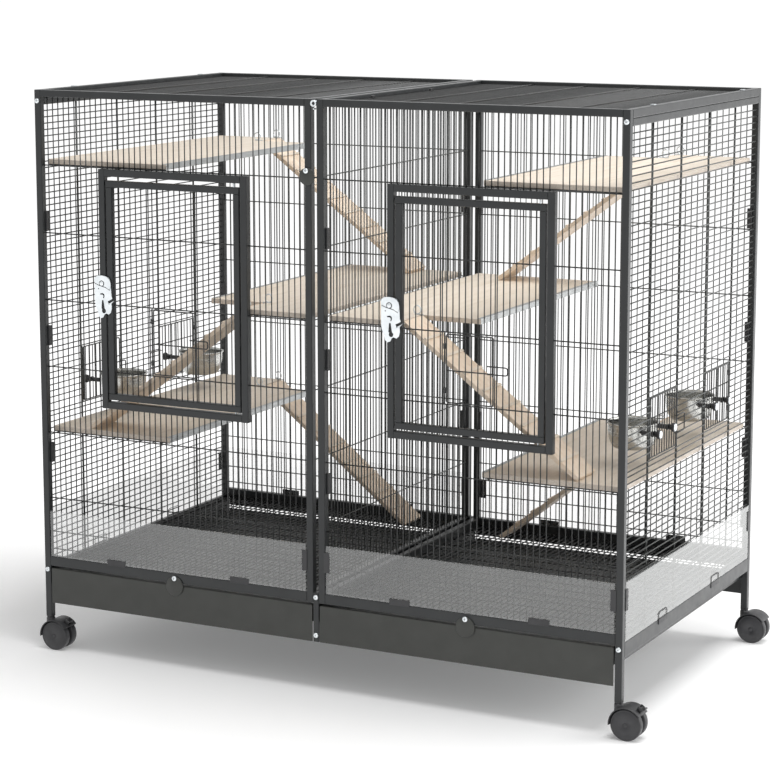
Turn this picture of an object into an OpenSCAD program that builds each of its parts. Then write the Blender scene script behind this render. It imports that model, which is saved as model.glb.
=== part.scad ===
// Ferret cage: two wire modules side by side on one square-tube frame with four twin-wheel
// casters, two front doors, six hatches, two drawers, six shelves and six ramps.
// Inside the modules of this file X runs across the front, Y into the depth and Z up,
// measured from the outer front left edge of the frame at the bottom of its legs.

/* [Overall size] */
// Width over the outer posts
cage_w = 1260; // [1050:10:1520]
// Depth over the posts
cage_d = 708; // [590:2:860]
// Height of the outer posts, from the leg bottom to the roof
post_h = 1070; // [890:5:1290]

/* [Frame] */
// Side of the square posts and rails
tube = 14; // [12:0.5:17]
// Wall of the square tubes
tube_wall = 1.2; // [0.8:0.1:2]
// Gap between the two modules
module_gap = 12; // [8:1:20]
// Height of the front and back rails
rail_h = 20; // [14:1:26]
// Height of the side beams of the base
side_beam_h = 28; // [24:1:40]
// Height of the roof's side rails
roof_side_h = 16; // [12:1:20]
// Lowest level wire above the leg bottom
low_level = 246; // [220:1:290]

/* [Wire panels] */
// Thickness of the panel wires
wire = 2.5; // [2:0.1:3.2]
// Upright wires in a module's front or back panel
upright_count = 23; // [15:1:47]
// Thickness of the heavy uprights in a side panel
heavy_wire = 4; // [3:0.2:5]
// Spacing of the wires that run along a side panel
side_pitch = 25; // [12:1:40]
// Spacing of the floor grid wires across the width
floor_pitch_x = 25; // [18:1:40]
// Spacing of the floor grid wires along the depth
floor_pitch_y = 46; // [30:1:70]

/* [Front doors] */
// Left edge of the fixed door frame from its module's left face
door_x = 147; // [120:1:150]
// Width of the fixed door frame
door_frame_w = 336; // [280:2:340]
// Rise of the fixed door frame above the second level wire from below
door_frame_rise = 62; // [40:1:80]
// Drop of the fixed door frame under the top level wire
door_frame_drop = 2; // [1:0.5:8]
// Bars of the moving door
door_bar = 13; // [10:0.5:14]
// Gap beside the door
door_side_gap = 3; // [2:0.5:5]
// Gap above the door
door_top_gap = 8; // [5:0.5:12]
// Gap under the door
door_foot_gap = 4; // [3:0.5:8]
// Diameter of the door hinge pins
pin_d = 4; // [3:0.1:5]
// Distance of the hinge pins from the door's hinge edge
pin_inset = 14; // [12:0.5:18]
// Width of the hatch in a door
door_hatch_w = 104; // [80:1:130]

/* [Side hatches and bowls] */
// Width of a bay between two heavy uprights
bay_w = 148; // [140:1:170]
// Height of the side hatches
side_hatch_h = 116; // [90:1:120]
// Rise of the side hatches above the second level wire from below
side_hatch_rise = 40; // [30:1:60]
// Spacing of the bars in a side hatch
side_bar_pitch = 12.3; // [9:0.1:20]
// Diameter of the hinge wires
hinge_wire = 3; // [2:0.1:4]
// Diameter of a bowl at its rim
bowl_d = 100; // [80:1:100]
// Height of a bowl
bowl_h = 50; // [35:1:60]
// Sheet thickness of a bowl
bowl_wall = 0.8; // [0.5:0.1:1.5]
// Reach of the handles past the hatch edge
handle_reach = 30; // [20:1:40]

/* [Shelves and ramps] */
// Width of the outer shelves
shelf_w = 276; // [220:2:290]
// Width of the middle shelves
mid_shelf_w = 273; // [220:1:280]
// Thickness of the shelves
shelf_t = 9.5; // [6:0.5:14]
// Width of the notch that a ramp passes
notch_w = 125; // [100:1:140]
// Length of a ramp
ramp_l = 440; // [400:2:460]
// Width of a ramp
ramp_w = 80; // [60:1:100]
// Thickness of a ramp
ramp_t = 8.5; // [6:0.5:12]
// Diameter of the ramp hinge wire
ramp_wire = 2.6; // [2:0.1:3]

/* [Drawers and guards] */
// Height of the drawer fascia above the leg bottom
drawer_z = 28; // [24:1:40]
// Height of the drawer fascia
fascia_h = 75; // [65:1:90]
// Height of the drawer's tray floor above the leg bottom
tray_z = 66; // [45:1:70]
// Height of the drawer's tray walls
tray_h = 34; // [20:1:35]
// Sheet thickness of the drawers
drawer_wall = 1.5; // [1:0.1:2.5]
// Side clearance of a drawer
drawer_gap = 2.5; // [2:0.1:4]
// Height of the splash guards above the front rail
guard_h = 94; // [70:1:110]
// Thickness of the splash guards
guard_t = 3; // [2:0.1:4]
// Radius of the drawer turn buttons
button_r = 19.5; // [15:0.5:22]

/* [Casters] */
// Height of a caster, from the floor to the leg bottom
caster_h = 68; // [60:1:80]
// Diameter of a caster wheel
wheel_d = 59.5; // [46:0.5:60]
// Width of one wheel of a pair
wheel_w = 15; // [11:0.5:18]
// Trail of the wheel axle behind the leg
caster_trail = 20; // [16:0.5:24]
// Diameter of the caster stem
stem_d = 10; // [8:0.5:11]

/* [Hidden] */
$fn = 48;
// Clearances: welded bars stay a hair apart, seats lie close, pins run free
weld_gap = 0.2;
seat_gap = 0.3;
run_gap = 0.05;

// Frame
module_w = (cage_w - module_gap) / 2;
module_pitch = module_w + module_gap;
inner_w = module_w - 2 * tube;
inner_d = cage_d - 2 * tube;
mid_x = tube / 2;
rail_z = drawer_z + fascia_h + 2;
rail_top = rail_z + rail_h;
floor_rise = 3;
floor_ledge_w = 9;
side_beam_top = rail_z + floor_rise;
side_beam_z = side_beam_top - side_beam_h;
roof_z = post_h - tube;
side_top_z = post_h - roof_side_h - tube;
level_pitch = (roof_z - low_level) / 6;
function level(n) = low_level + n * level_pitch;
all_levels = [for (n = [0:5]) level(n)];
front_low_wires = [rail_top + 15, rail_top + 51];

// Doors, drawn from the left face of their module
fixed_x1 = door_x + door_frame_w;
fixed_z0 = level(1) + door_frame_rise;
fixed_z1 = level(5) - door_frame_drop;
door_x0 = door_x + tube + door_side_gap;
door_x1 = fixed_x1 - tube - door_side_gap;
door_z0 = fixed_z0 + tube + door_foot_gap;
door_z1 = fixed_z1 - tube - door_top_gap;
door_pin_x = door_x1 - pin_inset;
pin_depth = 10;
hatch_x0 = module_w / 2 - door_hatch_w / 2;
hatch_x1 = module_w / 2 + door_hatch_w / 2;
knuckle_wall = 1.35;
knuckle_l = 10;
knuckle_r = hinge_wire / 2 + run_gap + knuckle_wall;
hinge_inset = knuckle_r + 0.5;
gate_gap = 1.2;
handle_z = 26;
handle_h = 36;
door_handle_h = 17;

// Latch: a plate that turns on the fixed bar and holds a stud on the door's bar
latch_w = 41;
latch_h = 84;
latch_t = 2;
latch_rise = 43;
latch_z = level(3) + latch_rise;
stud_d = 5;
stud_drop = 40;
latch_pivot_x = door_x + tube / 2;
stud_x = door_x0 + stud_d / 2 + 0.5;
latch_right = latch_w - 17.5;

// Side hatches and bowls
bay_y = [cage_d / 2 - 1.5 * bay_w, cage_d / 2 - 0.5 * bay_w,
         cage_d / 2 + 0.5 * bay_w, cage_d / 2 + 1.5 * bay_w];
side_hatch_z = level(1) + side_hatch_rise;
side_gate_w = bay_w - heavy_wire - hinge_inset - gate_gap;
bowl_back = wire / 2 + 7;
bowl_cx = side_gate_w / 2 - 5;
bowl_cy = bowl_back + bowl_d / 2;
bowl_z = 6;
clamp_dx = bowl_d * 0.38;
clamp_z = bowl_z + bowl_h - 13;
wing_reach = 13.25;

// Shelves and ramps, drawn in the left module
shelf_gap = 0.5;
// A door's hinge edge swings inwards in front of the shelves
door_swing_y = mid_x + norm([pin_inset, door_bar / 2]);
shelf_y0 = door_swing_y + seat_gap + shelf_gap;
shelf_y1 = cage_d - shelf_y0;
shelf_lift = wire / 2;
ramp_y0 = shelf_y0 + 4;
ramp_run = sqrt(pow(ramp_l, 2) - pow(2 * level_pitch, 2));
ramp_foot_margin = 90;
outer_notch_x = min(tube + shelf_w - notch_w, module_w - tube - ramp_foot_margin - ramp_run);
mid_shelf_x = module_w - tube - mid_shelf_w;
mid_notch_x = max(mid_shelf_x + notch_w, tube + ramp_foot_margin + ramp_run);
notch_d = ramp_y0 - tube + ramp_w + 4;
ramp_pin_gap = ramp_t / 2 + 2;
ramp_end_gap = 2;
eye_wall = 1.5;
eye_l = 3;
floor_top = side_beam_top + wire;

// Drawers
tray_d = cage_d - tube - 4;
runner_t = 1.2;
button_t = 3;
button_drop = 16;
button_z = rail_z + rail_h / 2;

// Casters
leg_c = tube / 2;
plug_l = 24;
wheel_r = wheel_d / 2;
hood_gap = 1;
hood_t = 2;
hood_r0 = wheel_r + 1.5 * hood_gap;
hood_r = hood_r0 + hood_t;
web_w = 8;
caster_half_w = web_w / 2 + hood_gap + wheel_w + hood_gap + hood_t / 2;
axle_r = 4;
lever_reach = 53;

// The origin lies on the floor under the middle of the whole outline
left_reach = max(wing_reach, hood_r - caster_trail);
shift_x = (cage_w + (lever_reach - leg_c) - (left_reach - mid_x)) / 2;

powder_coat = "#4a4b4b";
fascia_coat = "#46473f";
zinc = "#dfe4e6";
pine = "#e3d6c3";
ramp_wood = "#cfae86";
black_plastic = "#2d2d2f";

// ---- placing ----

// From the frame's own corner to the origin on the floor
module placed() {
  translate([-shift_x, -cage_d / 2, caster_h]) children();
}

// Once for each module, from its left face
module each_module() {
  for (n = [0, 1]) translate([n * module_pitch, 0, 0]) children();
}

// The right module's shelves and ramps mirror the left one's
module mirrored_right() {
  translate([cage_w, 0, 0]) mirror([1, 0, 0]) children();
}

module both_sides() {
  children();
  mirrored_right() children();
}

// The back of the cage mirrors its front
module mirrored_back() {
  translate([0, cage_d, 0]) mirror([0, 1, 0]) children();
}

module front_and_back() {
  children();
  mirrored_back() children();
}

// ---- tubes and wires ----

// Square tube of size [x, y, z], open along the given axis: 0 = X, 1 = Y, 2 = Z
module tube_bar(size, axis) {
  hollow = [for (k = [0:2]) k == axis ? size[k] + 2 : size[k] - 2 * tube_wall];
  start = [for (k = [0:2]) k == axis ? -1 : tube_wall];
  difference() {
    cube(size);
    translate(start) cube(hollow);
  }
}

// Flat wire grid in 2D between two corners: upright wires at us, cross wires at vs
module wire_grid(low, high, us, vs) {
  h = wire / 2;
  nu = len(us);
  nv = len(vs);
  difference() {
    translate(low) square(high - low);
    for (i = [0:nu], j = [0:nv]) {
      u0 = i == 0 ? low[0] - 1 : us[i - 1] + h;
      u1 = i == nu ? high[0] + 1 : us[i] - h;
      v0 = j == 0 ? low[1] - 1 : vs[j - 1] + h;
      v1 = j == nv ? high[1] + 1 : vs[j] - h;
      inside_u = min(u1, high[0]) - max(u0, low[0]);
      inside_v = min(v1, high[1]) - max(v0, low[1]);
      if (inside_u > 0.05 && inside_v > 0.05) translate([u0, v0]) square([u1 - u0, v1 - v0]);
    }
  }
}

// Stands a 2D grid up across the width, its wires centred on the plane at y
module across(y) {
  translate([0, y, 0]) rotate([90, 0, 0]) linear_extrude(wire, center = true) children();
}

// Stands a 2D grid up along the depth, its wires centred on the plane at x
module along(x) {
  translate([x, 0, 0]) rotate([90, 0, 90]) linear_extrude(wire, center = true) children();
}

// Those of a list of wires that lie clear of both ends of a stretch
function between(list, a, b) =
  let (margin = wire / 2 + weld_gap) [for (p = list) if (p > a + margin && p < b - margin) p];

upright_pitch = inner_w / (upright_count + 1);
uprights = [for (i = [1:upright_count]) tube + i * upright_pitch];
depth_count = round(inner_d / upright_pitch) - 1;
depth_wires = [for (k = [1:depth_count]) tube + k * inner_d / (depth_count + 1)];

// A grid of uprights and level wires that fills a stretch of a module's front or back
module module_grid(x0, x1, z0, z1, levels) {
  low = [x0 + weld_gap, z0 + weld_gap];
  high = [x1 - weld_gap, z1 - weld_gap];
  wire_grid(low, high, between(uprights, x0, x1), between(levels, z0, z1));
}

// ---- frame ----

module corner_posts() {
  color(powder_coat) placed() front_and_back() both_sides()
    tube_bar([tube, tube, post_h], 2);
}

module centre_posts() {
  color(powder_coat) placed() front_and_back() both_sides()
    translate([module_w - tube, 0, rail_z]) tube_bar([tube, tube, post_h - rail_z], 2);
}

module centre_legs() {
  color(powder_coat) placed() front_and_back()
    translate([module_w, 0, drawer_z]) tube_bar([module_gap, tube, rail_top - drawer_z], 2);
}

module base_rails() {
  rail_l = inner_w - 2 * weld_gap;
  color(powder_coat) placed() {
    front_and_back() each_module()
      translate([tube + weld_gap, 0, rail_z]) tube_bar([rail_l, tube, rail_h], 0);
    both_sides() {
      translate([0, tube + weld_gap, side_beam_z])
        tube_bar([tube, inner_d - 2 * weld_gap, side_beam_h], 1);
      translate([module_w - tube, tube + weld_gap, rail_z])
        tube_bar([tube, inner_d - 2 * weld_gap, rail_h], 1);
      floor_ledge(tube + weld_gap);
      floor_ledge(module_w - tube - floor_ledge_w - weld_gap);
      back_apron();
    }
  }
}

// Sheet that closes the back under the rail, as the drawer's fascia does in front
module back_apron() {
  translate([tube + weld_gap, cage_d - drawer_wall, drawer_z])
    cube([module_w - tube - 2 * weld_gap, drawer_wall, rail_z - drawer_z - weld_gap]);
}

// Ledge that the floor grid lies on
module floor_ledge(x) {
  translate([x, tube + weld_gap, side_beam_top - floor_rise + 1])
    cube([floor_ledge_w, inner_d - 2 * weld_gap, floor_rise - 1]);
}

module roof_frames() {
  side_l = inner_d - 2 * weld_gap;
  cross_count = 5;
  cross_wires = [for (k = [1:cross_count - 1]) tube + k * inner_w / cross_count];
  color(powder_coat) placed() {
    front_and_back() each_module()
      translate([tube + weld_gap, 0, roof_z]) tube_bar([inner_w - 2 * weld_gap, tube, tube], 0);
    both_sides() {
      translate([0, tube + weld_gap, post_h - roof_side_h])
        tube_bar([tube, side_l, roof_side_h], 1);
      translate([module_w - tube, tube + weld_gap, roof_z])
        tube_bar([tube, side_l, tube], 1);
    }
    each_module() translate([0, 0, post_h - tube / 2 - wire / 2]) linear_extrude(wire)
      wire_grid([tube + weld_gap, tube + weld_gap],
                [module_w - tube - weld_gap, cage_d - tube - weld_gap],
                cross_wires, depth_wires);
  }
}

// ---- wire panels ----

side_v0 = side_beam_top + weld_gap;
side_v1 = side_top_z - weld_gap;
side_hatch_top = side_hatch_z + side_hatch_h;
side_wire_x = seat_gap + guard_t + weld_gap;
heavy_x = side_wire_x + wire + weld_gap + heavy_wire / 2;
side_edges = [side_hatch_z - wire / 2, side_hatch_top + wire / 2];
side_count = round((side_v1 - side_v0) / side_pitch) - 1;
side_rows = [for (k = [1:side_count])
             let (z = side_v0 + k * (side_v1 - side_v0) / (side_count + 1))
             if (min([for (e = side_edges) abs(z - e)]) > 2 * wire) z];

// One wire along a side panel, left out where a hatch opens
module side_wire(z) {
  edge = heavy_wire / 2;
  cut = z > side_hatch_z && z < side_hatch_top;
  ends = cut ? [tube, bay_y[0] + edge, bay_y[1] - edge, bay_y[2] + edge, bay_y[3] - edge,
                cage_d - tube] : [tube, cage_d - tube];
  for (k = [0:2:len(ends) - 2])
    translate([side_wire_x, ends[k] + weld_gap, z - wire / 2])
      cube([wire, ends[k + 1] - ends[k] - 2 * weld_gap, wire]);
}

module side_panel() {
  translate([0, tube + weld_gap, side_top_z])
    tube_bar([tube, inner_d - 2 * weld_gap, tube - weld_gap], 1);
  for (y = bay_y)
    translate([heavy_x, y, side_v0]) cylinder(d = heavy_wire, h = side_v1 - side_v0);
  for (z = concat(side_edges, side_rows)) side_wire(z);
  front_and_back() hinge_wire_at(bay_y[0] + heavy_wire / 2 + hinge_inset);
}

// Upright round wire that a side hatch turns on
module hinge_wire_at(y) {
  translate([mid_x, y, side_hatch_z + weld_gap])
    cylinder(d = hinge_wire, h = side_hatch_h - 2 * weld_gap);
}

module side_panels() {
  color(powder_coat) placed() both_sides() side_panel();
}

module back_panels() {
  color(powder_coat) placed() mirrored_back() each_module() across(mid_x)
    module_grid(tube, module_w - tube, rail_top, roof_z, concat(front_low_wires, all_levels));
}

module front_panel() {
  levels = concat(front_low_wires, all_levels);
  right = module_w - tube;
  across(mid_x) {
    module_grid(tube, door_x, rail_top, roof_z, levels);
    module_grid(fixed_x1, right, rail_top, roof_z, levels);
    module_grid(door_x, fixed_x1, rail_top, fixed_z0, levels);
    module_grid(door_x, fixed_x1, fixed_z1, roof_z, levels);
  }
  for (x = [door_x, fixed_x1 - tube])
    translate([x, 0, fixed_z0]) tube_bar([tube, tube, fixed_z1 - fixed_z0], 2);
  for (z = [fixed_z0, fixed_z1 - tube])
    translate([door_x + tube + weld_gap, 0, z])
      tube_bar([door_frame_w - 2 * tube - 2 * weld_gap, tube, tube], 0);
}

module front_panels() {
  color(powder_coat) placed() each_module() front_panel();
}

module partition_panel() {
  color(powder_coat) placed() along(module_w - mid_x)
    wire_grid([tube + weld_gap, rail_top + weld_gap],
              [cage_d - tube - weld_gap, roof_z - weld_gap], depth_wires, all_levels);
}

// ---- doors ----

// Level wires that border the hatch of a door
hatch_z0 = level(2) + wire / 2;
hatch_z1 = level(3) - wire / 2;

// A stretch of a door's wires; a list names an edge wire beside the hatch
module door_grid(x0, x1, z0, z1, first = [], last = []) {
  a = len(first) > 0 ? first[0] + wire : x0;
  b = len(last) > 0 ? last[0] - wire : x1;
  wire_grid([x0, z0], [x1, z1], concat(first, between(uprights, a, b), last),
            between_closed(all_levels, z0, z1));
}

// Level wires inside a stretch, those on its edge included
function between_closed(list, a, b) = [for (p = list) if (p > a && p < b) p];

module door() {
  x0 = door_x0 + door_bar + weld_gap;
  x1 = door_x1 - door_bar - weld_gap;
  z0 = door_z0 + door_bar + weld_gap;
  z1 = door_z1 - door_bar - weld_gap;
  y0 = (tube - door_bar) / 2;
  difference() {
    for (z = [door_z0, door_z1 - door_bar])
      translate([door_x0, y0, z]) tube_bar([door_x1 - door_x0, door_bar, door_bar], 0);
    translate([door_pin_x, mid_x, door_z0 - 1]) cylinder(d = pin_d + 2 * run_gap, h = 2 * tube_wall);
    translate([door_pin_x, mid_x, door_z1 + 1 - 2 * tube_wall])
      cylinder(d = pin_d + 2 * run_gap, h = 2 * tube_wall);
  }
  for (x = [door_x0, door_x1 - door_bar])
    translate([x, y0, z0]) tube_bar([door_bar, door_bar, z1 - z0], 2);
  across(mid_x) {
    door_grid(x0, hatch_x0, z0, z1, last = [hatch_x0 - wire / 2]);
    door_grid(hatch_x1, x1, z0, z1, first = [hatch_x1 + wire / 2]);
    door_grid(hatch_x0 + weld_gap, hatch_x1 - weld_gap, z0, hatch_z0);
    door_grid(hatch_x0 + weld_gap, hatch_x1 - weld_gap, hatch_z1, z1);
  }
  translate([hatch_x0 + hinge_inset, mid_x, hatch_z0 + weld_gap])
    cylinder(d = hinge_wire, h = hatch_z1 - hatch_z0 - 2 * weld_gap);
  translate([stud_x, y0 - weld_gap, latch_z - stud_drop]) rotate([90, 0, 0])
    cylinder(d = stud_d, h = y0 + 6);
}

module door_left() { color(powder_coat) placed() door(); }
module door_right() { color(powder_coat) placed() translate([module_pitch, 0, 0]) door(); }

module door_hinge_pins() {
  color(zinc) placed() each_module() {
    translate([door_pin_x, mid_x, door_z1 - pin_depth])
      cylinder(d = pin_d, h = fixed_z1 - tube - door_z1 + pin_depth);
    translate([door_pin_x, mid_x, fixed_z0 + tube])
      cylinder(d = pin_d, h = door_z0 - fixed_z0 - tube + pin_depth);
  }
}

// Gate of wires that turns on the local Z axis: it opens towards -Y, and w, h bound its wires
module gate(w, h, bars, cross) {
  across(0) wire_grid([knuckle_r - 0.6, gate_gap], [w, h - gate_gap],
    concat([knuckle_r - 0.6 + wire / 2], bars, [w - wire / 2]),
    concat([gate_gap + wire / 2], cross, [h - gate_gap - wire / 2]));
  for (z = [0.15 * h, 0.85 * h - knuckle_l])
    translate([0, 0, z]) difference() {
      cylinder(r = knuckle_r, h = knuckle_l);
      translate([0, 0, -1]) cylinder(d = hinge_wire + 2 * run_gap, h = knuckle_l + 2);
    }
}

// Wire handle of three bars past a gate's free edge, over an upright that stands out by beside
module gate_handle(w, z, h, beside) {
  foot = beside + seat_gap - weld_gap - wire / 2;
  y = -beside - seat_gap - wire;
  x0 = w - 12;
  x1 = w + handle_reach;
  for (v = [z, z + h - wire]) {
    translate([x0, y, v]) cube([x1 - x0 - wire - weld_gap, wire, wire]);
    translate([x0, y + wire, v]) cube([wire, foot, wire]);
  }
  translate([x1 - wire, y, z]) cube([wire, wire, h]);
}

module door_gate() {
  w = door_hatch_w - hinge_inset - gate_gap;
  h = hatch_z1 - hatch_z0;
  first = hatch_x0 + hinge_inset;
  bars = [for (x = between(uprights, first + knuckle_r + wire, first + w - wire)) x - first];
  translate([first, mid_x, hatch_z0]) {
    gate(w, h, bars, [h * 0.47]);
    gate_handle(w, h * 0.46, door_handle_h, wire / 2);
  }
}

module door_hatch_left() { color(powder_coat) placed() door_gate(); }
module door_hatch_right() {
  color(powder_coat) placed() translate([module_pitch, 0, 0]) door_gate();
}

// Plate whose arc slot round the pivot lets the stud out as its lower end swings left
module latch() {
  slot_r = norm([stud_x - latch_pivot_x, stud_drop]);
  slot_w = stud_d + 0.6;
  slack = asin(slot_w / 2 / slot_r);
  angle = atan2(-stud_drop, stud_x - latch_pivot_x);
  translate([latch_pivot_x, -seat_gap, latch_z]) rotate([90, 0, 0]) difference() {
    translate([latch_right - latch_w, -latch_h + 22]) cube([latch_w, latch_h, latch_t]);
    translate([0, 0, -1]) rotate([0, 0, angle - slack]) rotate_extrude(angle = 70 + slack)
      translate([slot_r - slot_w / 2, 0]) square([slot_w, latch_t + 2]);
  }
  translate([latch_pivot_x, 0, latch_z]) rotate([90, 0, 0])
    cylinder(d = 9, h = seat_gap + latch_t + 2);
}

module door_latch_left() { color(zinc) placed() latch(); }
module door_latch_right() { color(zinc) placed() translate([module_pitch, 0, 0]) latch(); }

// ---- side hatches with their bowls ----

// Local frame of a hatch: hinge wire on Z, the gate along +X, outside towards -Y
module at_hatch(right, back) {
  edge = heavy_wire / 2 + hinge_inset;
  x = right ? cage_w - mid_x : mid_x;
  y = back ? bay_y[3] - edge : bay_y[0] + edge;
  placed() translate([x, y, side_hatch_z]) rotate([0, 0, back ? -90 : 90])
    if (right == back) mirror([0, 1, 0]) children();
    else children();
}

module side_gate() {
  count = floor(side_gate_w / side_bar_pitch);
  pitch = side_gate_w / count;
  bars = [for (k = [1:count - 1]) k * pitch];
  clear_bars = between(bars, knuckle_r + wire, side_gate_w - wire);
  gate(side_gate_w, side_hatch_h, clear_bars, [side_hatch_h * 0.65]);
  gate_handle(side_gate_w, handle_z, handle_h, mid_x - side_wire_x);
}

// Round bowl with a rolled rim, standing on the local origin
module bowl() {
  r = bowl_d / 2;
  foot = r * 0.72;
  body = r - 3;
  rotate_extrude()
    polygon([[0, 0], [foot, 0], [body, bowl_h * 0.55], [body, bowl_h - 1.5], [r, bowl_h - 1.5],
             [r, bowl_h], [body - bowl_wall, bowl_h], [body - bowl_wall, bowl_h * 0.55],
             [foot - bowl_wall, bowl_wall], [0, bowl_wall]]);
}

module hatch_bowl() {
  translate([bowl_cx, bowl_cy, bowl_z]) bowl();
}

// Two jaws that hold the rim against the bars, each with a wing nut outside
module hatch_clamps() {
  body = bowl_d / 2 - 3;
  jaw_w = 8;
  reach = bowl_cy - sqrt(pow(body, 2) - pow(clamp_dx - jaw_w / 2, 2)) - seat_gap;
  for (s = [-1, 1]) translate([bowl_cx + s * clamp_dx, 0, clamp_z]) {
    translate([-9, wire / 2, -5]) cube([18, 3, 10]);
    translate([-jaw_w / 2, wire / 2, -4]) cube([jaw_w, reach - wire / 2, 8]);
    translate([0, -wire / 2, 0]) rotate([90, 0, 0]) cylinder(d = 9, h = 6);
    for (k = [-1, 1]) translate([k * 7.5 - 3.5, -wing_reach, -3]) cube([7, wing_reach - 3, 6]);
  }
}

module side_hatch_left_front() { color(powder_coat) at_hatch(false, false) side_gate(); }
module side_hatch_left_back() { color(powder_coat) at_hatch(false, true) side_gate(); }
module side_hatch_right_front() { color(powder_coat) at_hatch(true, false) side_gate(); }
module side_hatch_right_back() { color(powder_coat) at_hatch(true, true) side_gate(); }
module bowl_left_front() { color(zinc) at_hatch(false, false) hatch_bowl(); }
module bowl_left_back() { color(zinc) at_hatch(false, true) hatch_bowl(); }
module bowl_right_front() { color(zinc) at_hatch(true, false) hatch_bowl(); }
module bowl_right_back() { color(zinc) at_hatch(true, true) hatch_bowl(); }
module bowl_clamps_left_front() { color(black_plastic) at_hatch(false, false) hatch_clamps(); }
module bowl_clamps_left_back() { color(black_plastic) at_hatch(false, true) hatch_clamps(); }
module bowl_clamps_right_front() { color(black_plastic) at_hatch(true, false) hatch_clamps(); }
module bowl_clamps_right_back() { color(black_plastic) at_hatch(true, true) hatch_clamps(); }

// ---- shelves ----

// Board between two corners with a notch cut from one of its own corners
module board(x0, x1, nx0, nx1, ny0, ny1, z) {
  difference() {
    translate([x0, shelf_y0, z]) cube([x1 - x0, shelf_y1 - shelf_y0, shelf_t]);
    translate([nx0, ny0, z - 1]) cube([nx1 - nx0, ny1 - ny0, shelf_t + 2]);
  }
}

outer_x0 = tube + shelf_gap;
outer_x1 = tube + shelf_w;
mid_x1 = module_w - tube - shelf_gap;

module shelves_left() {
  for (n = [1, 5])
    board(outer_x0, outer_x1, outer_notch_x, outer_x1 + 1,
          cage_d - tube - notch_d, shelf_y1 + 1, level(n) + shelf_lift);
  board(mid_shelf_x, mid_x1, mid_shelf_x - 1, mid_notch_x,
        shelf_y0 - 1, tube + notch_d, level(3) + shelf_lift);
}

module shelves() {
  color(pine) placed() both_sides() shelves_left();
}

strip_t = 1;

module shelf_edge_strips() {
  outer_l = cage_d - tube - notch_d - shelf_y0;
  color(zinc) placed() both_sides() {
    for (n = [1, 5])
      translate([outer_x1, shelf_y0, level(n) + shelf_lift]) cube([strip_t, outer_l, shelf_t]);
    translate([mid_shelf_x - strip_t, tube + notch_d, level(3) + shelf_lift])
      cube([strip_t, shelf_y1 - tube - notch_d, shelf_t]);
  }
}

// Bearer wire under a shelf's front edge, with two feet back to the panel's wires
module bearer(x0, x1, feet, z) {
  translate([x0, shelf_y0, z - wire / 2]) cube([x1 - x0, wire, wire]);
  for (x = feet)
    translate([x - wire / 2, mid_x + wire / 2, z - wire / 2])
      cube([wire, shelf_y0 - mid_x, wire]);
}

module shelf_supports() {
  beside_door = max(fixed_x1, module_w - door_x) + 12;
  color(powder_coat) placed() both_sides() {
    for (n = [1, 5]) {
      bearer(outer_x0, outer_x1, [outer_x0 + 15, outer_x1 - 15], level(n));
      mirrored_back() bearer(outer_x0, outer_notch_x, [outer_x0 + 15, outer_notch_x - 12], level(n));
    }
    bearer(mid_notch_x, mid_x1, [beside_door, mid_x1 - 15], level(3));
    mirrored_back() bearer(mid_shelf_x, mid_x1, [mid_shelf_x + 15, mid_x1 - 15], level(3));
  }
}

// ---- ramps ----

// Height of a shelf's mid plane over its level, where the ramp hinges lie
hinge_rise = shelf_lift + shelf_t / 2;
outer_hinge_x = outer_notch_x + ramp_pin_gap;
mid_hinge_x = mid_notch_x - ramp_pin_gap;

// Slope at which a ramp's foot comes to the surface that lies drop under its hinge
function slope(drop) =
  asin((drop - seat_gap) / norm([ramp_l, ramp_t / 2])) - atan2(ramp_t / 2, ramp_l);

// Local frame of a ramp hinge: axis on Y from the near side of the plank, the plank along +X
module at_ramp(n) {
  z = level(n) + hinge_rise;
  if (n == 3) translate([mid_hinge_x, ramp_y0, z]) mirror([1, 0, 0]) children();
  else translate([outer_hinge_x, cage_d - ramp_y0 - ramp_w, z]) children();
}

// Plank with its hinge wire and cleats, hanging down to the level below
module ramp(n) {
  floor_drop = level(1) + hinge_rise - floor_top;
  shelf_drop = 2 * level_pitch - shelf_t / 2;
  cleat_count = 8;
  cleat = 3;
  at_ramp(n) {
    rotate([0, slope(n == 1 ? floor_drop : shelf_drop), 0]) {
      translate([-ramp_end_gap, 0, -ramp_t / 2]) cube([ramp_l + ramp_end_gap, ramp_w, ramp_t]);
      for (k = [1:cleat_count])
        translate([k * ramp_l / (cleat_count + 1), 0, ramp_t / 2]) cube([2 * cleat, ramp_w, cleat]);
    }
    translate([0, -eye_l - 1, 0]) rotate([-90, 0, 0])
      cylinder(d = ramp_wire, h = ramp_w + 2 * eye_l + 2);
  }
}

module ramp_left_top() { color(ramp_wood) placed() ramp(5); }
module ramp_left_middle() { color(ramp_wood) placed() ramp(3); }
module ramp_left_lower() { color(ramp_wood) placed() ramp(1); }
module ramp_right_top() { color(ramp_wood) placed() mirrored_right() ramp(5); }
module ramp_right_middle() { color(ramp_wood) placed() mirrored_right() ramp(3); }
module ramp_right_lower() { color(ramp_wood) placed() mirrored_right() ramp(1); }

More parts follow.
